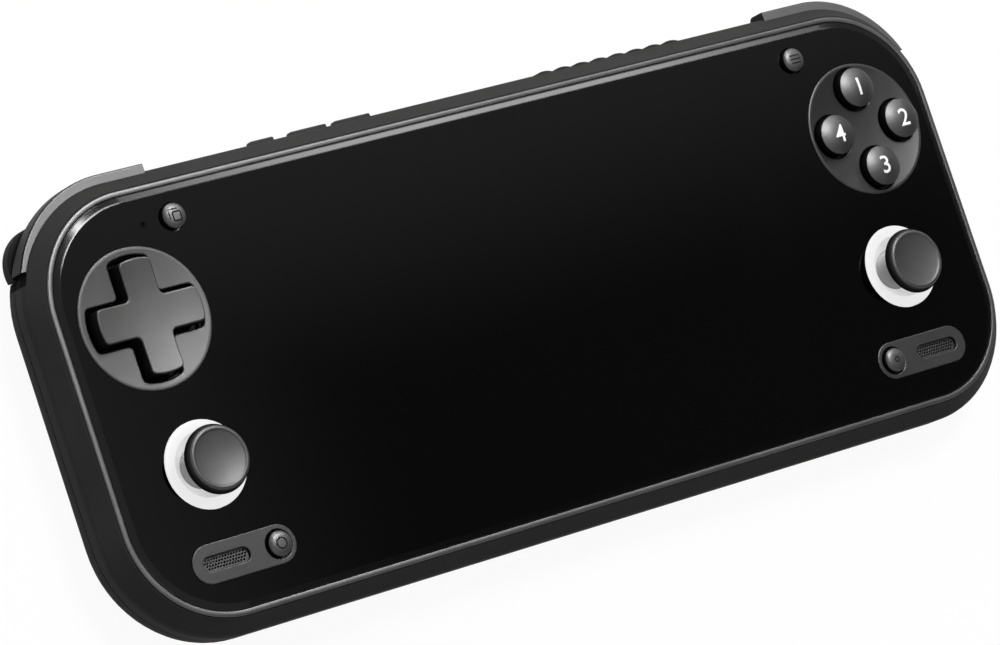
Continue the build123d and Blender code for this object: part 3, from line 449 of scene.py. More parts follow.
@dataclass(frozen=True)
class Satin:
    """Satin metallic paint with painted shade on its steep walls, near black and not metallic.

    Some pieces are a little hollow towards a middle, inside a flat rim. Below a given level
    every face gets the painted shade too.
    """

    name: str
    tone: float
    roughness: float = 0.42
    metallic: float = 0.9
    specular: float = 0.1
    centre: Point = (0.0, 0.0)
    radius: float = 16.0
    rim: float = 0.955
    hollow: float = 0.0
    edge: float = 0.1
    wall_tone: float = 0.008
    upright: Range = (0.25, 0.55)
    paint_level: float = 0.0
    cloud_size: float = 7.0
    cloud_share: float = 0.6
    contrast: float = 0.2
    grain: float = 0.18
    grain_depth: float = 0.002
    mottle: float = 0.08
    dulling: float = 0.05

    def build(self) -> bpy.types.Material:
        """Build the material.

        Returns:
            The material.
        """
        recipe = Recipe.of(self.name)
        cloud = recipe.noise(self.cloud_size, CLOUD_DETAIL)
        speck = recipe.noise(self.grain)
        paint = recipe.mix(
            patches(cloud, speck, self.cloud_share, self.contrast),
            grey(self.tone * (1 - self.mottle)),
            grey(self.tone * (1 + self.mottle)),
        )
        # Painted shade: steep walls, and all below the level, turn near black and not metallic.
        unshaded = recipe.facing("Z").above(*self.upright)
        if self.paint_level:
            unshaded = unshaded * (recipe.axis("Z") > self.paint_level * MM)
        normal = recipe.soft_edge(self.edge)
        if self.hollow:
            across, along = (
                (recipe.axis(letter) - middle * MM) * (1 / (self.radius * MM))
                for letter, middle in zip("XY", self.centre)
            )
            bowl = (across * across + along * along).math("MINIMUM", self.rim * self.rim)
            normal = recipe.bump(bowl, self.hollow, normal)
        return recipe.finish(
            Base_Color=recipe.mix(unshaded, grey(self.wall_tone), paint),
            Metallic=unshaded * self.metallic,
            Roughness=varied(self.roughness, (cloud, self.dulling), (speck, self.dulling)),
            Specular_IOR_Level=self.specular,
            Normal=recipe.bump(speck, self.grain_depth, normal),
        )


@dataclass(frozen=True)
class PrintedGlass:
    """Black printed glass with a ground bevel round its edge and faint wiping marks."""

    name: str = "printed_glass"
    tone: float = 0.0005
    bevel_tone: float = 0.055
    edge: float = 0.55
    core: Point = CORNER
    flat_radius: float = 20.3
    steep_facing: float = 0.985
    smear_size: float = 38.0
    smear_stretch: Direction = (1.0, 0.45, 1.0)
    smear_range: Range = (0.45, 0.8)
    roughness: float = 0.04
    smear_roughness: float = 0.04
    bevel_roughness: float = 0.08
    hole_roughness: float = 0.6
    ior: float = 1.5

    def build(self) -> bpy.types.Material:
        """Build the material.

        Returns:
            The material.
        """
        recipe = Recipe.of(self.name)
        across, along = (
            (recipe.axis(letter).math("ABSOLUTE") - middle * MM).math("MAXIMUM", 0.0)
            for letter, middle in zip("XY", self.core)
        )
        rim = (across * across + along * along).root() > self.flat_radius * MM
        steep = recipe.facing("Z") < self.steep_facing
        bevel = steep * rim
        hole = steep * (1 - rim)
        smear = recipe.noise(self.smear_size, CLOUD_DETAIL, self.smear_stretch)
        dull = self.roughness + smear.above(*self.smear_range) * self.smear_roughness
        return recipe.finish(
            Base_Color=recipe.mix(bevel, grey(self.tone), grey(self.bevel_tone)),
            Roughness=dull + bevel * self.bevel_roughness + hole * self.hole_roughness,
            Metallic=bevel,
            IOR=self.ior,
            Normal=recipe.blend(rim, recipe.normal(), recipe.soft_edge(self.edge)),
        )


@dataclass(frozen=True)
class LightGuide:
    """Milky plastic lit from behind, with faint clouds."""

    name: str
    glow: float
    tone: float
    cloud_size: float = 3.0
    cloud_range: Range = (0.2, 0.8)
    dimmest_share: float = 0.96
    roughness: float = 0.35
    dulling: float = 0.1

    def build(self) -> bpy.types.Material:
        """Build the material.

        Returns:
            The material.
        """
        recipe = Recipe.of(self.name)
        cloud = recipe.noise(self.cloud_size)
        dimmest = grey(self.glow * self.dimmest_share)
        return recipe.finish(
            Base_Color=grey(self.tone),
            Roughness=varied(self.roughness, (cloud, self.dulling)),
            Emission_Color=recipe.mix(cloud.above(*self.cloud_range), dimmest, grey(self.glow)),
            Emission_Strength=1.0,
        )


@dataclass(frozen=True)
class CircuitBoard:
    """Lacquered board with buried tracks."""

    name: str = "circuit_board"
    lacquer: Colour = (0.008, 0.05, 0.03, 1.0)
    track: Colour = (0.02, 0.11, 0.06, 1.0)
    track_size: float = 1.1
    track_stretch: Direction = (1.0, 0.12, 1.0)
    track_range: Range = (0.52, 0.56)
    track_height: float = 0.03
    cloud_size: float = 6.0
    roughness: float = 0.25
    dulling: float = 0.15

    def build(self) -> bpy.types.Material:
        """Build the material.

        Returns:
            The material.
        """
        recipe = Recipe.of(self.name)
        tracks = recipe.noise(self.track_size, 0.0, self.track_stretch).above(*self.track_range)
        return recipe.finish(
            Base_Color=recipe.mix(tracks, self.lacquer, self.track),
            Roughness=self.roughness + recipe.noise(self.cloud_size) * self.dulling,
            Normal=recipe.bump(tracks, self.track_height),
        )


@dataclass(frozen=True)
class Foil:
    """Wrinkled dark film of a battery pouch."""

    name: str = "pouch_foil"
    tones: Range = (0.04, 0.075)
    metallic: float = 0.4
    roughness: float = 0.3
    dulling: float = 0.2
    wrinkle_size: float = 5.0
    wrinkle_detail: float = 4.0
    wrinkle_range: Range = (0.3, 0.7)
    wrinkle_depth: float = 0.25

    def build(self) -> bpy.types.Material:
        """Build the material.

        Returns:
            The material.
        """
        recipe = Recipe.of(self.name)
        wrinkle = recipe.noise(self.wrinkle_size, self.wrinkle_detail)
        dark, light = map(grey, self.tones)
        return recipe.finish(
            Base_Color=recipe.mix(wrinkle.above(*self.wrinkle_range), dark, light),
            Metallic=self.metallic,
            Roughness=self.roughness + wrinkle * self.dulling,
            Normal=recipe.bump(wrinkle, self.wrinkle_depth),
        )


Finish = Moulded | Metal | Satin | PrintedGlass | LightGuide | CircuitBoard | Foil


class Paint:
    """Materials by finish, each built once."""

    def __init__(self) -> None:
        """Start with none."""
        self.built: dict[str, bpy.types.Material] = {}

    def of(self, finish: Finish) -> bpy.types.Material:
        """Material of a finish.

        Args:
            finish: The finish.

        Returns:
            Its material, built on the first call.
        """
        if finish.name not in self.built:
            self.built[finish.name] = finish.build()
        return self.built[finish.name]


PAINT = Paint()

SHELL = Moulded("shell_plastic", tone=0.026, roughness=0.74, specular=0.08, edge=0.25)
# Painted shade: all but the flat tops of the shoulder buttons take the near-black wall tone.
SHOULDER = Satin(
    "shoulder_satin", tone=0.16, roughness=0.48, edge=0.15, wall_tone=0.005, upright=(0.8, 0.95)
)
TRIGGER = Moulded("trigger_plastic", tone=0.012, roughness=0.66, specular=0.08, edge=0.2)
# Painted shade: the steep sides of these buttons are near black.
KEY = Satin("key_satin", tone=0.12, wall_tone=0.003)
SMALL_KEY = Satin("small_key_satin", tone=0.14, wall_tone=0.004)
EDGE_KEY = Moulded("edge_key_plastic", tone=0.014, roughness=0.45, specular=0.25)
# Painted shade: below the face, where the key's flange shows in the gaps, it is near black.
CROSS = Satin(
    "cross_key_satin",
    tone=0.106,
    roughness=0.44,
    centre=(-PLATE_X, ROW_Y),
    radius=13.0,
    rim=1.0,
    hollow=0.6,
    paint_level=FACE,
)
# Painted shade: the steep outer side of the stick caps is near black.
CAP = Satin("stick_cap_satin", tone=0.12, roughness=0.45, wall_tone=0.004, edge=0.3)
DOME = Moulded("stick_dome_plastic", tone=0.50, roughness=0.30, grain_depth=0.001, warmth=0.0)
# Near-black foam; in the shoulder gaps its dark tone is partly painted shade.
SEAL_AND_GAP_SHADE = Moulded("seal_foam", tone=0.004, roughness=0.8, specular=0.05, grain=0.35, grain_depth=0.03)
INNER = Moulded("inner_plastic", tone=0.008, roughness=0.5, specular=0.25)
FOOT = Moulded("foot_rubber", tone=0.02, roughness=0.7, specular=0.2, grain=0.3, grain_depth=0.02)
INK = Moulded("numeral_ink", tone=0.85, roughness=0.5, grain_depth=0.001, warmth=0.0)
# Painted shade: the engraved lines of the small buttons' signs are near black.
GROOVE_SHADE = Moulded("sign_groove", tone=0.004, roughness=0.5, specular=0.1)
RING = Metal("ring_metal", grey(0.17), roughness=0.42)
STEEL = Metal("machined_steel", grey(0.50, 0.01), roughness=0.28)
FRAME_METAL = Metal("frame_aluminium", grey(0.60), roughness=0.35)
COPPER = Metal("pipe_copper", (0.72, 0.36, 0.22, 1.0), roughness=0.3)
MESH = Metal("speaker_sheet", grey(0.13), roughness=0.42)
PILL = Satin("long_plate_satin", tone=0.088, roughness=0.44)
CROSS_PLATE = Satin("cross_plate_satin", tone=0.115, centre=(-PLATE_X, ROW_Y), hollow=0.8)
BUTTON_PLATE = Satin("button_plate_satin", tone=0.092, centre=(PLATE_X, ROW_Y), hollow=1.9)
GLASS = PrintedGlass()
SCREEN = Moulded("panel_black", tone=0.004, roughness=0.2)
GLOW = LightGuide("light_ring_glow", glow=0.80, tone=0.08)
FUNNEL = LightGuide("light_funnel_glow", glow=0.50, tone=0.40)
BOARD = CircuitBoard()
FOIL = Foil()

FINISH_OF_SLOT: dict[str, Finish] = {
    "shell": SHELL,
    "ring_metal": RING,
    "cover": GLASS,
    "screen": SCREEN,
    "frame_metal": FRAME_METAL,
    "plate_satin": PILL,
    "key_black": KEY,
    "edge_key": EDGE_KEY,
    "shoulder": SHOULDER,
    "light": GLOW,
    "cap_rubber": INNER,
    "steel": STEEL,
    "gimbal_plastic": INNER,
    "board_green": BOARD,
    "membrane_rubber": FOOT,
    "mesh_metal": MESH,
    "copper": COPPER,
    "battery_foil": FOIL,
}

FINISH_OF_NODE: dict[str, Finish] = {
    "dpad_key": CROSS,
    "left_trigger": TRIGGER,
    "right_trigger": TRIGGER,
}


def dress_nodes(nodes: dict[str, bpy.types.Object], subparts: Sequence[dict[str, str]]) -> None:
    """Give every carried-over node the finish of its slot.

    Args:
        nodes: The frame's node objects by name.
        subparts: The record's list of nodes and their slots.
    """
    for subpart in subparts:
        name = subpart["node"]
        finish = FINISH_OF_NODE.get(name) or FINISH_OF_SLOT[subpart["material_slot"]]
        for slot in nodes[name].material_slots:
            slot.link = "OBJECT"
            slot.material = PAINT.of(finish)


def shaded(mesh: bpy.types.Mesh, angle: float = SHARP_ANGLE) -> bpy.types.Mesh:
    """Shade a mesh smooth.

    Args:
        mesh: The mesh.
        angle: Bend in degrees from which an edge stays sharp.

    Returns:
        The same mesh.
    """
    mesh.polygons.foreach_set("use_smooth", [True] * len(mesh.polygons))
    mesh.set_sharp_from_angle(angle=math.radians(angle))
    return mesh


def link(name: str, mesh: bpy.types.Mesh, *finishes: Finish) -> bpy.types.Object:
    """Put a mesh into the scene.

    Args:
        name: Name of the piece.
        mesh: Its mesh.
        *finishes: Its finishes.

    Returns:
        The piece.
    """
    piece = bpy.data.objects.new(name, mesh)
    bpy.context.scene.collection.objects.link(piece)
    for finish in finishes:
        mesh.materials.append(PAINT.of(finish))
    return piece


def seat(piece: bpy.types.Object, body: str, slot: str, *replaced: str) -> None:
    """Let a piece ride on a body.

    Args:
        piece: The piece.
        body: Name of the body.
        slot: Name of the slot of its finish; not used.
        *replaced: Names of the nodes that it stands for.
    """
    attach(piece, body)
    if replaced:
        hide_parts(*replaced)
    log.info("%s rides on %s", piece.name, body)


def arc(centre: Point, radius: float, start: float, end: float, steps: int) -> list[Point]:
    """Points on an arc.

    Args:
        centre: Its centre.
        radius: Its radius.
        start: First angle in degrees.
        end: Last angle in degrees.
        steps: Number of stretches.

    Returns:
        The points, both ends among them.
    """
    angles = [math.radians(start + (end - start) * i / steps) for i in range(steps + 1)]
    return [(centre[0] + radius * math.cos(a), centre[1] + radius * math.sin(a)) for a in angles]


def circle(centre: Point, radius: float, steps: int = 96) -> list[Point]:
    """Points round a circle."""
    return arc(centre, radius, 0, 360, steps)[:-1]


def capsule(centre: Point, reach: float, radius: float, steps: int = 24) -> list[Point]:
    """Outline of a slot: reach is half the distance between its round ends' centres."""
    x, y = centre
    return arc((x + reach, y), radius, -90, 90, steps) + arc((x - reach, y), radius, 90, 270, steps)


def rounded_box(half_x: float, half_y: float, radius: float, steps: int = 24) -> list[Point]:
    """Outline of a rounded rectangle round the middle.

    Args:
        half_x: Half its length.
        half_y: Half its width.
        radius: Radius of its corners.
        steps: Number of stretches of a corner.

    Returns:
        Its points, anticlockwise.
    """
    x, y = half_x - radius, half_y - radius
    corners = [((x, y), 0), ((-x, y), 90), ((-x, -y), 180), ((x, -y), 270)]
    return [p for centre, start in corners for p in arc(centre, radius, start, start + 90, steps)]


def spun(
    profile: Sequence[Point],
    segments: int,
    centre: Point = (0.0, 0.0),
    level: float = 0.0,
    unit: float = 1.0,
    finish_of: Callable[[int], int] | None = None,
) -> bmesh.types.BMesh:
    """Turn a profile round an upright axis.

    Args:
        profile: Radius and height of each point.
        segments: Number of facets round the axis.
        centre: Place of the axis.
        level: Height that the profile starts from.
        unit: Metres in one unit of the lengths before it.
        finish_of: Number of the finish of each band of the profile.

    Returns:
        The mesh, still open.
    """
    work = bmesh.new()
    rings = []
    for radius, height in profile:
        turns = [2 * math.pi * i / segments for i in range(segments if radius else 1)]
        x, y, z = centre[0], centre[1], (level + height) * unit
        rings.append(
            [
                work.verts.new(
                    ((x + radius * math.cos(turn)) * unit, (y + radius * math.sin(turn)) * unit, z)
                )
                for turn in turns
            ]
        )
    for band, (lower, upper) in enumerate(zip(rings, rings[1:])):
        for i in range(segments):
            corners = [ring[k % len(ring)] for ring, k in ((lower, i), (lower, i + 1))]
            corners += [ring[k % len(ring)] for ring, k in ((upper, i + 1), (upper, i))]
            face = work.faces.new(list(dict.fromkeys(corners)))
            face.material_index = finish_of(band) if finish_of else 0
    return work


def written(name: str, work: bmesh.types.BMesh, angle: float = SHARP_ANGLE) -> bpy.types.Mesh:
    """Close an open mesh.

    Args:
        name: Name of the mesh.
        work: The open mesh, which is freed.
        angle: Bend in degrees from which an edge stays sharp.

    Returns:
        The shaded mesh.
    """
    mesh = bpy.data.meshes.new(name)
    work.to_mesh(mesh)
    work.free()
    return shaded(mesh, angle)


def turned(
    name: str,
    profile: Sequence[Point],
    centre: Point,
    *finishes: Finish,
    segments: int = 80,
    finish_of: Callable[[int], int] | None = None,
) -> bpy.types.Object:
    """Turn a piece round an upright axis.

    Args:
        name: Name of the piece.
        profile: Radius and height above the face of each point.
        centre: Place of the axis.
        *finishes: Finishes of the piece.
        segments: Number of facets round the axis.
        finish_of: Number of the finish of each band of the profile.

    Returns:
        The piece.
    """
    work = spun(profile, segments, centre, FACE, MM, finish_of)
    bmesh.ops.recalc_face_normals(work, faces=work.faces)
    return link(name, written(name, work), *finishes)


def swept(
    name: str, profile: Sequence[Point], outline: Callable[[float], list[Point]], *finishes: Finish
) -> bpy.types.Object:
    """Sweep a closed profile round an outline.

    Args:
        name: Name of the piece.
        profile: Inset from the outline and height above the face of each point.
        outline: Gives the outline's points for an inset.
        *finishes: Finishes of the piece.

    Returns:
        The piece.
    """
    work = bmesh.new()
    loops = [
        [work.verts.new((x * MM, y * MM, (FACE + height) * MM)) for x, y in outline(inset)]
        for inset, height in profile
    ]
    for first, second in zip(loops, loops[1:] + loops[:1]):
        count = len(first)
        for i in range(count):
            j = (i + 1) % count
            work.faces.new((first[i], first[j], second[j], second[i]))
    bmesh.ops.recalc_face_normals(work, faces=work.faces)
    return link(name, written(name, work), *finishes)


def trace(curve: bpy.types.Curve, points: Sequence[Point], closed: bool) -> None:
    """Add a line of straight stretches to a curve.

    Args:
        curve: The curve.
        points: Points of the line.
        closed: Whether its end meets its start.
    """
    spline = curve.splines.new("POLY")
    spline.points.add(len(points) - 1)
    for target, (x, y) in zip(spline.points, points):
        target.co = (x * MM, y * MM, 0.0, 1.0)
    spline.use_cyclic_u = closed


def meshed(curve: bpy.types.Curve) -> bpy.types.Mesh:
    """Make a bare mesh of a curve or a text.

    Args:
        curve: The curve or text.

    Returns:
        The mesh, without materials.
    """
    draft = bpy.data.objects.new(curve.name + "_draft", curve)
    bpy.context.scene.collection.objects.link(draft)
    bpy.context.view_layer.update()
    graph = bpy.context.evaluated_depsgraph_get()
    mesh = bpy.data.meshes.new_from_object(draft.evaluated_get(graph))
    bpy.data.objects.remove(draft)
    mesh.materials.clear()
    return mesh


def plate(
    name: str,
    outer: Sequence[Point],
    holes: Sequence[Sequence[Point]],
    top: float,
    thickness: float,
    edge: float,
    finish: Finish,
) -> bpy.types.Object:
    """Cut a flat plate with rounded edges.

    Args:
        name: Name of the piece.
        outer: Its outline, anticlockwise.
        holes: Outlines of its holes, anticlockwise.
        top: Height of its top above the face.
        thickness: Its thickness.
        edge: Radius of its edges.
        finish: Its finish.

    Returns:
        The piece.
    """
    curve = bpy.data.curves.new(name, "CURVE")
    curve.dimensions = "2D"
    curve.fill_mode = "BOTH"
    curve.extrude = (thickness / 2 - edge) * MM
    curve.bevel_depth = edge * MM
    curve.bevel_resolution = EDGE_STEPS
    curve.offset = -edge * MM
    for points in [list(outer)] + [list(reversed(hole)) for hole in holes]:
        trace(curve, points, True)
    mesh = meshed(curve)
    mesh.transform(Matrix.Translation((0, 0, (FACE + top - thickness / 2) * MM)))
    return link(name, shaded(mesh), finish)


def draped(
    mesh: bpy.types.Mesh, centre: Point, height: Callable[[float], float], cuts: int
) -> None:
    """Lay a flat sign on a dome.

    Args:
        mesh: The sign, with heights measured from the dome's surface, in metres.
        centre: Place of the dome's axis.
        height: The dome's height above the face at a distance from the axis.
        cuts: Number of cuts of each edge before it is bent.
    """
    work = bmesh.new()
    work.from_mesh(mesh)
    bmesh.ops.subdivide_edges(work, edges=work.edges, cuts=cuts, use_grid_fill=True)
    for vert in work.verts:
        distance = math.hypot(vert.co.x / MM - centre[0], vert.co.y / MM - centre[1])
        vert.co.z += (FACE + height(distance)) * MM
    work.to_mesh(mesh)
    work.free()


@dataclass
class Casing:
    """Metal ring round the glass. The shells stay as the frame's solids."""

    half_length: float = 124.5
    half_width: float = 51.25
    ring_corner: float = 27.3
    corner_steps: int = 32
    ring_profile: tuple[Point, ...] = (
        (4.80, -2.90),
        (4.80, -0.86),
        (4.77, -0.79),
        (4.70, -0.76),
        (3.92, -0.76),
        (3.78, -0.80),
        (3.68, -0.90),
        (3.65, -1.00),
        (3.65, -2.90),
    )

    def outline(self, inset: float) -> list[Point]:
        """Outline of the body, moved inwards."""
        corner = self.ring_corner - inset
        return rounded_box(
            self.half_length - inset, self.half_width - inset, corner, self.corner_steps
        )

    def build(self) -> None:
        """Build the ring."""
        ring = swept("glass_ring", self.ring_profile, self.outline, RING)
        seat(ring, "console", "ring_metal", "bezel_ring")


@dataclass
class MicrophoneHole:
    """Soft dark grommet that lines the small hole beside the upper left button."""

    place: Point = (-93.15, UPPER_Y)
    segments: int = 32
    profile: tuple[Point, ...] = (
        (0.34, -1.2),
        (0.30, -0.45),
        (0.34, -0.33),
        (0.55, -0.27),
        (0.85, -0.29),
        (0.88, -0.31),
    )

    def build(self) -> None:
        """Build the grommet."""
        grommet = turned(
            "microphone_grommet", self.profile, self.place, SEAL_AND_GAP_SHADE, segments=self.segments
        )
        seat(grommet, "console", "membrane_rubber")


@dataclass(frozen=True)
class Strip:
    """Foam strip under the free end of one shoulder button."""

    name: str
    joint: str
    top: float
    low: float
    high: float
    outer_inset: float
    keep: float


# The strips fill real gaps, and their near-black tone is painted shade there.
@dataclass
class ShoulderSeals:
    """Foam strips that close the gaps below the shoulder buttons."""

    corner: Point = CORNER
    corner_radius: float = 27.0
    inner_inset: float = 7.2
    foot: float = 33.12
    edge: float = 0.2
    arc_steps: int = 4
    strips: tuple[Strip, ...] = (
        Strip("bumper", "bumper_press", 35.95, low=-10.9, high=-5.4, outer_inset=1.0, keep=0.3),
        Strip("trigger", "trigger_pull", 35.4, low=-15.7, high=-11.4, outer_inset=1.55, keep=0.12),
    )

    def plan(self, top: float, outer_inset: float) -> list[Point]:
        """Outline of a strip on the right, between two lines across the corner.

        Args:
            top: Y of the line nearer the shoulder button.
            outer_inset: Distance of the strip from the body's outside.

        Returns:
            Its points, anticlockwise.
        """
        outer = self.corner_radius - outer_inset
        inner = self.corner_radius - self.inner_inset
        (low_out, high_out), (low_in, high_in) = [
            [math.degrees(math.asin((y - self.corner[1]) / radius)) for y in (self.foot, top)]
            for radius in (outer, inner)
        ]
        points = arc(self.corner, outer, low_out, high_out, self.arc_steps)
        return points + arc(self.corner, inner, high_in, low_in, self.arc_steps)

    def build(self) -> None:
        """Build the four strips."""
        for side in Side:
            for strip in self.strips:
                points = self.plan(strip.top, strip.outer_inset)
                if side is Side.LEFT:
                    points = [(-x, y) for x, y in reversed(points)]
                word = f"{side.word}_{strip.name}_seal"
                seal = plate(word, points, [], strip.high, strip.high - strip.low, self.edge, SEAL_AND_GAP_SHADE)
                seat(seal, "console", "membrane_rubber")
                f"{side.word}_{strip.joint}"
                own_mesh(seal)


@dataclass
class ControlPlates:
    """Round plates of the cross key and the face buttons, and the long plates."""

    radius: float = 16.0
    thickness: float = 1.9
    edge: float = 0.32
    cross_half: float = 5.0
    cross_reach: float = 14.1
    cross_round: float = 1.2
    cross_steps: int = 6
    arm_steps: int = 16
    button_hole: float = 5.2
    button_hole_steps: int = 64
    small_place: Point = LOWER_BUTTON
    small_hole: float = 3.25
    small_hole_steps: int = 48
    pill_outer: float = 103.4
    pill_radius: float = 4.4
    pill_edge: float = 0.22
    slot_x: float = 99.25
    slot_reach: float = 4.3
    slot_radius: float = 1.6

    def cross(self) -> list[Point]:
        """Outline of the cross opening.

        Returns:
            Its points, anticlockwise from the right arm.
        """
        half, reach, soft = self.cross_half, self.cross_reach, self.cross_round
        swing = math.degrees(math.asin((half - soft) / (reach - soft)))
        side = (reach - soft) * math.cos(math.radians(swing))
        arm = arc((side, -(half - soft)), soft, -90, -swing, self.cross_steps)
        arm += arc((0, 0), reach, -swing, swing, self.arm_steps)[1:-1]
        arm += arc((side, half - soft), soft, swing, 90, self.cross_steps)
        arm += arc((half + soft, half + soft), soft, 270, 180, self.cross_steps)
        points: list[Point] = []
        for angle in (math.radians(90 * turn) for turn in range(4)):
            points += [
                (
                    -PLATE_X + x * math.cos(angle) - y * math.sin(angle),
                    ROW_Y + x * math.sin(angle) + y * math.cos(angle),
                )
                for x, y in arm
            ]
        return points

    def build(self) -> None:
        """Build the four plates."""
        disc = circle((-PLATE_X, ROW_Y), self.radius)
        sizes = (0, self.thickness, self.edge)
        face = plate("cross_plate", disc, [self.cross()], *sizes, CROSS_PLATE)
        seat(face, "console", "plate_satin", "dpad_plate")
        disc = circle((PLATE_X, ROW_Y), self.radius)
        holes = [
            circle(place, self.button_hole, self.button_hole_steps)
            for place in BUTTON_PLACES.values()
        ]
        face = plate("face_button_plate", disc, holes, *sizes, BUTTON_PLATE)
        seat(face, "console", "plate_satin", "button_plate")
        small_x, y = self.small_place
        middle = (small_x + self.pill_outer) / 2
        reach = (self.pill_outer - small_x) / 2
        sizes = (0, self.thickness, self.pill_edge)
        for side in Side:
            sign, word = side.value, side.word
            outer = capsule((sign * middle, y), reach, self.pill_radius)
            holes = [
                circle((sign * small_x, y), self.small_hole, self.small_hole_steps),
                capsule((sign * self.slot_x, y), self.slot_reach, self.slot_radius),
            ]
            face = plate(f"{word}_long_plate", outer, holes, *sizes, PILL)
            seat(face, "console", "plate_satin", f"{word}_pill_plate")


@dataclass
class FaceButtons:
    """Four domed buttons with a plain numeral each."""

    radius: float = 4.75
    side_height: float = 2.0
    shoulder: float = 0.15
    shoulder_end: float = 66.0
    shoulder_steps: int = 4
    rise: float = 3.1
    dome_steps: int = 12
    flange_radius: float = 5.6
    flange_level: float = 2.3
    flange_back: float = 3.1
    numeral_size: float = 5.9
    numeral_depth: float = 0.05
    numeral_weight: float = 0.06
    numeral_steps: int = 6
    numeral_cuts: int = 3

    def dome(self, distance: float) -> float:
        """Height of a button's top.

        Args:
            distance: Distance from the button's middle.

        Returns:
            The height above the face.
        """
        rim = self.radius - self.shoulder
        sag = self.rise - self.side_height - self.shoulder
        sphere = (rim * rim + sag * sag) / (2 * sag)
        return self.rise - sphere + math.sqrt(sphere * sphere - min(distance, rim) ** 2)

    def profile(self) -> list[Point]:
        """Profile of a button from its back to the middle of its top.

        Returns:
            Radius and height above the face of each point.
        """
        rim = self.radius - self.shoulder
        points = [(0.0, -self.flange_back), (self.flange_radius, -self.flange_back)]
        points += [(self.flange_radius, -self.flange_level), (self.radius, -self.flange_level)]
        side_top = (rim, self.side_height)
        points += arc(side_top, self.shoulder, 0, self.shoulder_end, self.shoulder_steps)
        start = points[-1][0]
        distances = [start * (1 - i / self.dome_steps) for i in range(1, self.dome_steps + 1)]
        return points + [(distance, self.dome(distance)) for distance in distances]

    def numeral(self, text: str, name: str, place: Point) -> bpy.types.Object:
        """Print a numeral on a button.

        Args:
            text: The numeral.
            name: Name of its piece.
            place: Place of the button.

        Returns:
            The piece.
        """
        curve = bpy.data.curves.new(name, "FONT")
        curve.body = text
        curve.size = self.numeral_size * MM
        curve.align_x = "CENTER"
        curve.align_y = "CENTER"
        curve.extrude = self.numeral_depth * MM
        curve.offset = self.numeral_weight * MM
        curve.resolution_u = self.numeral_steps
        mesh = meshed(curve)
        low = [min(v.co[k] for v in mesh.vertices) for k in range(2)]
        high = [max(v.co[k] for v in mesh.vertices) for k in range(2)]
        shift = [place[k] * MM - (low[k] + high[k]) / 2 for k in range(2)]
        mesh.transform(Matrix.Translation((shift[0], shift[1], 0)))
        draped(mesh, place, self.dome, self.numeral_cuts)
        return link(name, mesh, INK)

    def build(self) -> None:
        """Build the buttons and their numerals."""
        for number, (word, place) in enumerate(BUTTON_PLACES.items(), start=1):
            body = f"face_button_{word}"
            cap = turned(f"{word}_button_cap", self.profile(), place, KEY)
            seat(cap, body, "key_black", body)
            seat(self.numeral(str(number), f"{word}_numeral", place), body, "key_black")


class Sign(Enum):
    """Plain signs on the small buttons, by the button that carries each."""

    CORNERS = "left_upper"
    BARS = "right_upper"
    CIRCLE = "left_lower"
    DOT = "right_lower"

    def strokes(self) -> list[tuple[list[Point], bool]]:
        """Draw the sign, in millimetres from the button's middle.

        Returns:
            Points of each stroke, and whether it is closed.
        """
        if self is Sign.CORNERS:
            return [
                ([(-1.5, -0.7), (-1.5, 1.4), (0.7, 1.4)], False),
                ([(x + 0.3, y - 0.3) for x, y in rounded_box(1.0, 1.0, 0.35, 4)], True),
            ]
        if self is Sign.BARS:
            return [([(-1.35, h), (1.35, h)], False) for h in (0.9, 0.0, -0.9)]
        if self is Sign.CIRCLE:
            return [(circle((0, 0), 1.2, 24), True)]
        return [(circle((0, 0), 0.55, 16), True)]


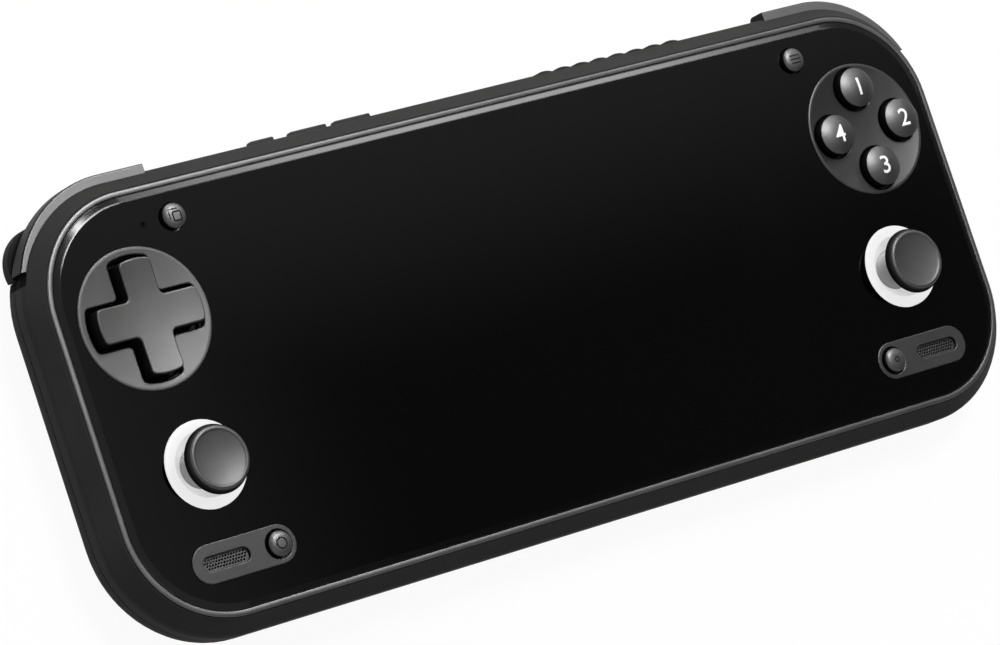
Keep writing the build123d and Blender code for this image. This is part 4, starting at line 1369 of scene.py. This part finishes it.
@dataclass
class SmallButtons:
    """Two round buttons at the glass's upper corners and two on the long plates."""

    upper: Point = (85.85, UPPER_Y)
    lower: Point = LOWER_BUTTON
    radius: float = 2.85
    rise: float = 1.5
    side_height: float = 0.55
    fullness: float = 3.4
    dome_steps: int = 14
    stem_radius: float = 1.2
    stem_back: float = 4.55
    flange_radius: float = 3.65
    flange_back: float = 2.95
    flange_level: float = 2.25
    segments: int = 56
    stroke: float = 0.24
    sunk_share: float = 0.7
    sign_cuts: int = 1

    def dome(self, distance: float) -> float:
        """Height of a button's top.

        Args:
            distance: Distance from the button's middle.

        Returns:
            The height above the face.
        """
        share = min(distance / self.radius, 1.0)
        bulge = math.sqrt(1 - share**self.fullness)
        return self.side_height + (self.rise - self.side_height) * bulge

    def profile(self) -> list[Point]:
        """Profile of a button from its back to the middle of its top.

        Returns:
            Radius and height above the face of each point.
        """
        points = [(0.0, -self.stem_back), (self.stem_radius, -self.stem_back)]
        points += [(self.stem_radius, -self.flange_back), (self.flange_radius, -self.flange_back)]
        points += [(self.flange_radius, -self.flange_level), (self.radius, -self.flange_level)]
        for i in range(self.dome_steps):
            distance = self.radius * math.cos(math.radians(90 * i / self.dome_steps))
            points.append((distance, self.dome(distance)))
        return points + [(0.0, self.rise)]

    def sign(self, kind: Sign, name: str, place: Point) -> bpy.types.Object:
        """Let a sign into a button.

        Args:
            kind: Which sign.
            name: Name of its piece.
            place: Place of the button.

        Returns:
            The piece.
        """
        curve = bpy.data.curves.new(name, "CURVE")
        curve.dimensions = "3D"
        curve.bevel_depth = self.stroke * MM
        curve.bevel_resolution = EDGE_STEPS
        curve.use_fill_caps = True
        for points, closed in kind.strokes():
            trace(curve, [(place[0] + x, place[1] + y) for x, y in points], closed)
        mesh = meshed(curve)
        mesh.transform(Matrix.Translation((0, 0, -self.sunk_share * self.stroke * MM)))
        draped(mesh, place, self.dome, self.sign_cuts)
        # The near-black strokes are painted shade inside the engraved lines.
        return link(name, shaded(mesh), GROOVE_SHADE)

    def build(self) -> None:
        """Build the buttons and their signs."""
        for side in Side:
            for row, (x, y) in (("upper", self.upper), ("lower", self.lower)):
                place = (side.value * x, y)
                word = f"{side.word}_{row}"
                body = f"{word}_button"
                cap = turned(
                    f"{word}_cap", self.profile(), place, SMALL_KEY, segments=self.segments
                )
                seat(cap, body, "key_black", body)
                seat(self.sign(Sign(word), f"{word}_sign", place), body, "key_black")


@dataclass
class Stick:
    """Thumb stick with its cap and lit ring.

    The cap is a flared neck on a dome, with a lip, a rim and a brow round its dish. The ring has
    a funnel inside, which the stick stands in.
    """

    side: Side
    x: float = 96.87
    y: float = -14.268
    segments: int = 112
    arc_steps: int = 6
    gimbal_level: float = 8.0
    dome_radius: float = 6.5
    dome_reach: float = 4.75
    dome_thickness: float = 0.8
    dome_start: float = 76.0
    dome_level: float = 0.5
    neck_radius: float = 2.45
    neck_flare: float = 1.7
    cap_radius: float = 7.7
    cap_top: float = 6.9
    cap_under: float = 4.5
    under_inset: float = 0.6
    lip: float = 0.45
    lip_sweep: Range = (-80, 10)
    rim_radius: float = 7.05
    rim: float = 0.6
    rim_inset: float = 0.55
    rim_sweep: Range = (15, 90)
    rim_steps: int = 8
    brow: float = 0.5
    brow_inset: float = 0.7
    brow_sweep: Range = (95, 140)
    brow_steps: int = 4
    dish: float = 0.7
    dish_steps: int = 12
    ring_radius: float = 9.8
    ring_width: float = 2.6
    ring_thickness: float = 1.9
    ring_edge: float = 0.12
    ring_edge_steps: int = 3
    funnel_top: float = 7.35
    funnel_foot: float = 4.8
    funnel_level: float = 3.3
    funnel_edge: float = 0.2
    funnel_edge_end: float = 150.0
    funnel_edge_steps: int = 4
    funnel_wall: tuple[Point, ...] = ((6.8, -0.9), (6.1, -1.8))
    funnel_back_bands: int = 2

    @property
    def place(self) -> Point:
        """Place of the stick's axis."""
        return (self.side.value * self.x, self.y)

    def cap_profile(self) -> list[Point]:
        """Profile of the cap from the dome's inner rim to the middle of its dish.

        Returns:
            Radius and height above the face of each point.
        """
        under, top, flare = self.cap_under, self.cap_top, self.neck_flare
        pivot = (0, -self.gimbal_level)
        reach, neck = (
            math.degrees(math.acos(size / self.dome_radius))
            for size in (self.dome_reach, self.neck_radius)
        )
        inner = self.dome_radius - self.dome_thickness
        points = arc(pivot, inner, self.dome_start, reach, self.arc_steps)
        points += arc(pivot, self.dome_radius, reach, neck, self.arc_steps)
        middle = (self.neck_radius + flare, under - flare)
        points += arc(middle, flare, 180, 90, self.arc_steps)
        points += [(self.cap_radius - self.under_inset, under)]
        middle = (self.cap_radius - self.lip, under + self.lip)
        points += arc(middle, self.lip, *self.lip_sweep, self.arc_steps)
        middle = (self.rim_radius - self.rim_inset, top - self.rim)
        points += arc(middle, self.rim, *self.rim_sweep, self.rim_steps)
        middle = (self.rim_radius - self.brow_inset, top - self.brow)
        points += arc(middle, self.brow, *self.brow_sweep, self.brow_steps)
        start, height = points[-1]
        bottom = top - self.dish
        for share in (1 - i / self.dish_steps for i in range(1, self.dish_steps + 1)):
            points.append((start * share, bottom + (height - bottom) * share**2))
        return points

    def ring_profile(self) -> list[Point]:
        """Profile of the lit ring, then of the funnel inside it.

        Returns:
            Radius and height above the face of each point.
        """
        outer, foot = self.ring_radius, (self.funnel_foot, -self.funnel_level)
        inner = outer - self.ring_width
        points = [foot, (inner, -self.funnel_level)]
        points += [(inner, -self.ring_thickness), (outer, -self.ring_thickness)]
        middle = (outer - self.ring_edge, -self.ring_edge)
        points += arc(middle, self.ring_edge, 0, 90, self.ring_edge_steps)
        middle = (self.funnel_top + self.funnel_edge, -self.funnel_edge)
        sweep = (90, self.funnel_edge_end, self.funnel_edge_steps)
        points += arc(middle, self.funnel_edge, *sweep)
        return points + [*self.funnel_wall, foot]

    def build(self) -> None:
        """Build the cap and the ring."""
        word = self.side.word
        profile = self.cap_profile()
        cap = turned(
            f"{word}_thumb_cap",
            profile,
            self.place,
            CAP,
            DOME,
            segments=self.segments,
            finish_of=lambda band: 1 if profile[band + 1][1] < self.dome_level else 0,
        )
        seat(cap, f"{word}_stick", "cap_rubber", f"{word}_stick_cap")
        outline = self.ring_profile()
        lit = range(self.funnel_back_bands, len(outline) - len(self.funnel_wall) - 2)
        ring = turned(
            f"{word}_lit_ring",
            outline,
            self.place,
            GLOW,
            FUNNEL,
            segments=self.segments,
            finish_of=lambda band: 0 if band in lit else 1,
        )
        seat(ring, "console", "light", f"{word}_light_ring")


@dataclass(frozen=True)
class Lamp:
    """Soft box that faces the console. Lengths are metres."""

    name: str
    direction: Direction
    distance: float
    size: tuple[float, float]
    brightness: float

    @property
    def power(self) -> float:
        """Power in watts that gives the lamp its brightness."""
        return self.brightness * math.pi * self.size[0] * self.size[1]


@dataclass
class Studio:
    """Pale floor and backdrop, soft boxes, a dim room and the photograph's camera.

    The camera's focal length and centre are in pixels of the photograph, and its eye is in
    millimetres. The rest is in metres.
    """

    focal: float = 4883.8257
    image_width: float = 1000.0
    image_height: float = 645.0
    centre: Point = (497.828, 317.894)
    eye: Direction = (-603.961, -86.342, 929.138)
    right: Direction = (0.810718926, -0.314029968, 0.494085014)
    down: Direction = (-0.224163034, -0.946155675, -0.233538802)
    ahead: Direction = (0.540819523, 0.078578731, -0.837460224)
    sensor: float = 36.0
    nearest: float = 0.05
    room_dim: float = 0.06
    room_lift: float = 0.24
    room_behind: Range = (0.070, 0.125)
    room_beyond: Range = (0.45, 0.52)
    floor_tone: float = 0.9
    floor_grain: float = 2.0
    floor_mottle: float = 0.01
    whiteness: float = 0.94
    wall_radius: float = 3.2
    wall_height: float = 0.45
    flat_share: float = 0.8
    wall_steps: int = 6
    wall_segments: int = 96
    wall_bend: float = 60.0
    lamps: tuple[Lamp, ...] = (
        Lamp("key_box", (0.15, 0.47, 0.87), 0.80, size=(0.29, 0.29), brightness=20.0),
        Lamp("strip_box", (0.56, 0.58, 0.59), 1.2, size=(0.45, 0.13), brightness=7.0),
        Lamp("back_box", (-0.05, 0.93, 0.33), 1.2, size=(0.6, 0.28), brightness=11.0),
        Lamp("fill_box", (-0.55, -0.45, 0.70), 1.5, size=(0.9, 0.9), brightness=0.4),
    )

    def camera(self) -> None:
        """Put the camera where the photograph was taken from."""
        data = bpy.data.cameras.new("photo_camera")
        data.sensor_width = self.sensor
        data.lens = self.focal * self.sensor / self.image_width
        data.shift_x = (self.image_width / 2 - self.centre[0]) / self.image_width
        data.shift_y = (self.centre[1] - self.image_height / 2) / self.image_width
        data.clip_start = self.nearest
        camera = bpy.data.objects.new("photo_camera", data)
        turn = Matrix((self.right, [-c for c in self.down], [-c for c in self.ahead])).transposed()
        camera.matrix_world = Matrix.Translation(Vector(self.eye) * MM) @ turn.to_4x4()
        bpy.context.scene.collection.objects.link(camera)
        bpy.context.scene.camera = camera

    def backdrop_material(self) -> bpy.types.Material:
        """White where a camera or a reflection sees it, with a trace of the console's shadow.

        Returns:
            The material.
        """
        recipe = Recipe.of("backdrop_paper")
        speck = recipe.noise(self.floor_grain)
        darker = grey(self.floor_tone * (1 - self.floor_mottle))
        shade = recipe.mix(speck, darker, grey(self.floor_tone))
        paper = recipe.node("ShaderNodeBsdfDiffuse", inputs={"Color": shade})
        white = recipe.node("ShaderNodeEmission", inputs={"Color": grey(1.0), "Strength": 1.0})
        path = recipe.node("ShaderNodeLightPath")
        seen = Value(recipe.tree, path.outputs["Is Camera Ray"])
        for output in ("Is Glossy Ray", "Is Transmission Ray"):
            seen = seen.math("MAXIMUM", Value(recipe.tree, path.outputs[output]))
        both = recipe.node(
            "ShaderNodeMixShader",
            inputs={0: seen * self.whiteness, 1: paper.outputs[0], 2: white.outputs[0]},
        )
        recipe.node("ShaderNodeOutputMaterial", inputs={"Surface": both.outputs[0]})
        return recipe.owner

    def backdrop(self) -> None:
        """Build the floor with the low wall round it as one mesh."""
        flat, reach = self.flat_share, self.wall_radius
        profile = [(0.0, 0.0), (reach * flat, 0.0)]
        for i in range(1, self.wall_steps + 1):
            angle = math.radians(90 * i / self.wall_steps)
            radius = reach * (flat + (1 - flat) * math.sin(angle))
            profile.append((radius, self.wall_height * (1 - math.cos(angle))))
        mesh = written("floor", spun(profile, self.wall_segments), self.wall_bend)
        floor = bpy.data.objects.new("floor", mesh)
        mesh.materials.append(self.backdrop_material())
        bpy.context.scene.collection.objects.link(floor)

    def light(self) -> None:
        """Hang the soft boxes and light the room."""
        for lamp in self.lamps:
            data = bpy.data.lights.new(lamp.name, "AREA")
            data.shape = "RECTANGLE"
            data.size, data.size_y = lamp.size
            data.energy = lamp.power
            box = bpy.data.objects.new(lamp.name, data)
            direction = Vector(lamp.direction).normalized()
            box.location = direction * lamp.distance
            box.rotation_euler = direction.to_track_quat("Z", "Y").to_euler()
            bpy.context.scene.collection.objects.link(box)
        world = bpy.data.worlds.new("room")
        recipe = Recipe(world)
        towards = recipe.node("ShaderNodeTexCoord").outputs["Generated"]
        behind = recipe.axis("Y", towards).above(*self.room_behind)
        beyond = recipe.axis("X", towards).above(*self.room_beyond)
        lit = behind.math("MAXIMUM", 1 - beyond)
        colour = recipe.mix(lit, grey(self.room_dim), grey(self.room_dim + self.room_lift))
        sky = recipe.node("ShaderNodeBackground", inputs={"Color": colour, "Strength": 1.0})
        recipe.node("ShaderNodeOutputWorld", inputs={"Surface": sky.outputs[0]})
        bpy.context.scene.world = world

    def build(self) -> None:
        """Build the whole studio."""
        self.camera()
        self.backdrop()
        self.light()
        bpy.context.scene.view_settings.view_transform = "Standard"


def main() -> None:
    """Dress the console and set up its studio."""
    logging.basicConfig(level=logging.INFO, format="%(message)s")
    dress_nodes(frame["nodes"], frame["record"]["subparts"])
    Casing().build()
    MicrophoneHole().build()
    ShoulderSeals().build()
    ControlPlates().build()
    FaceButtons().build()
    SmallButtons().build()
    for side in Side:
        Stick(side).build()
    Studio().build()


if __name__ == "__main__":
    main()
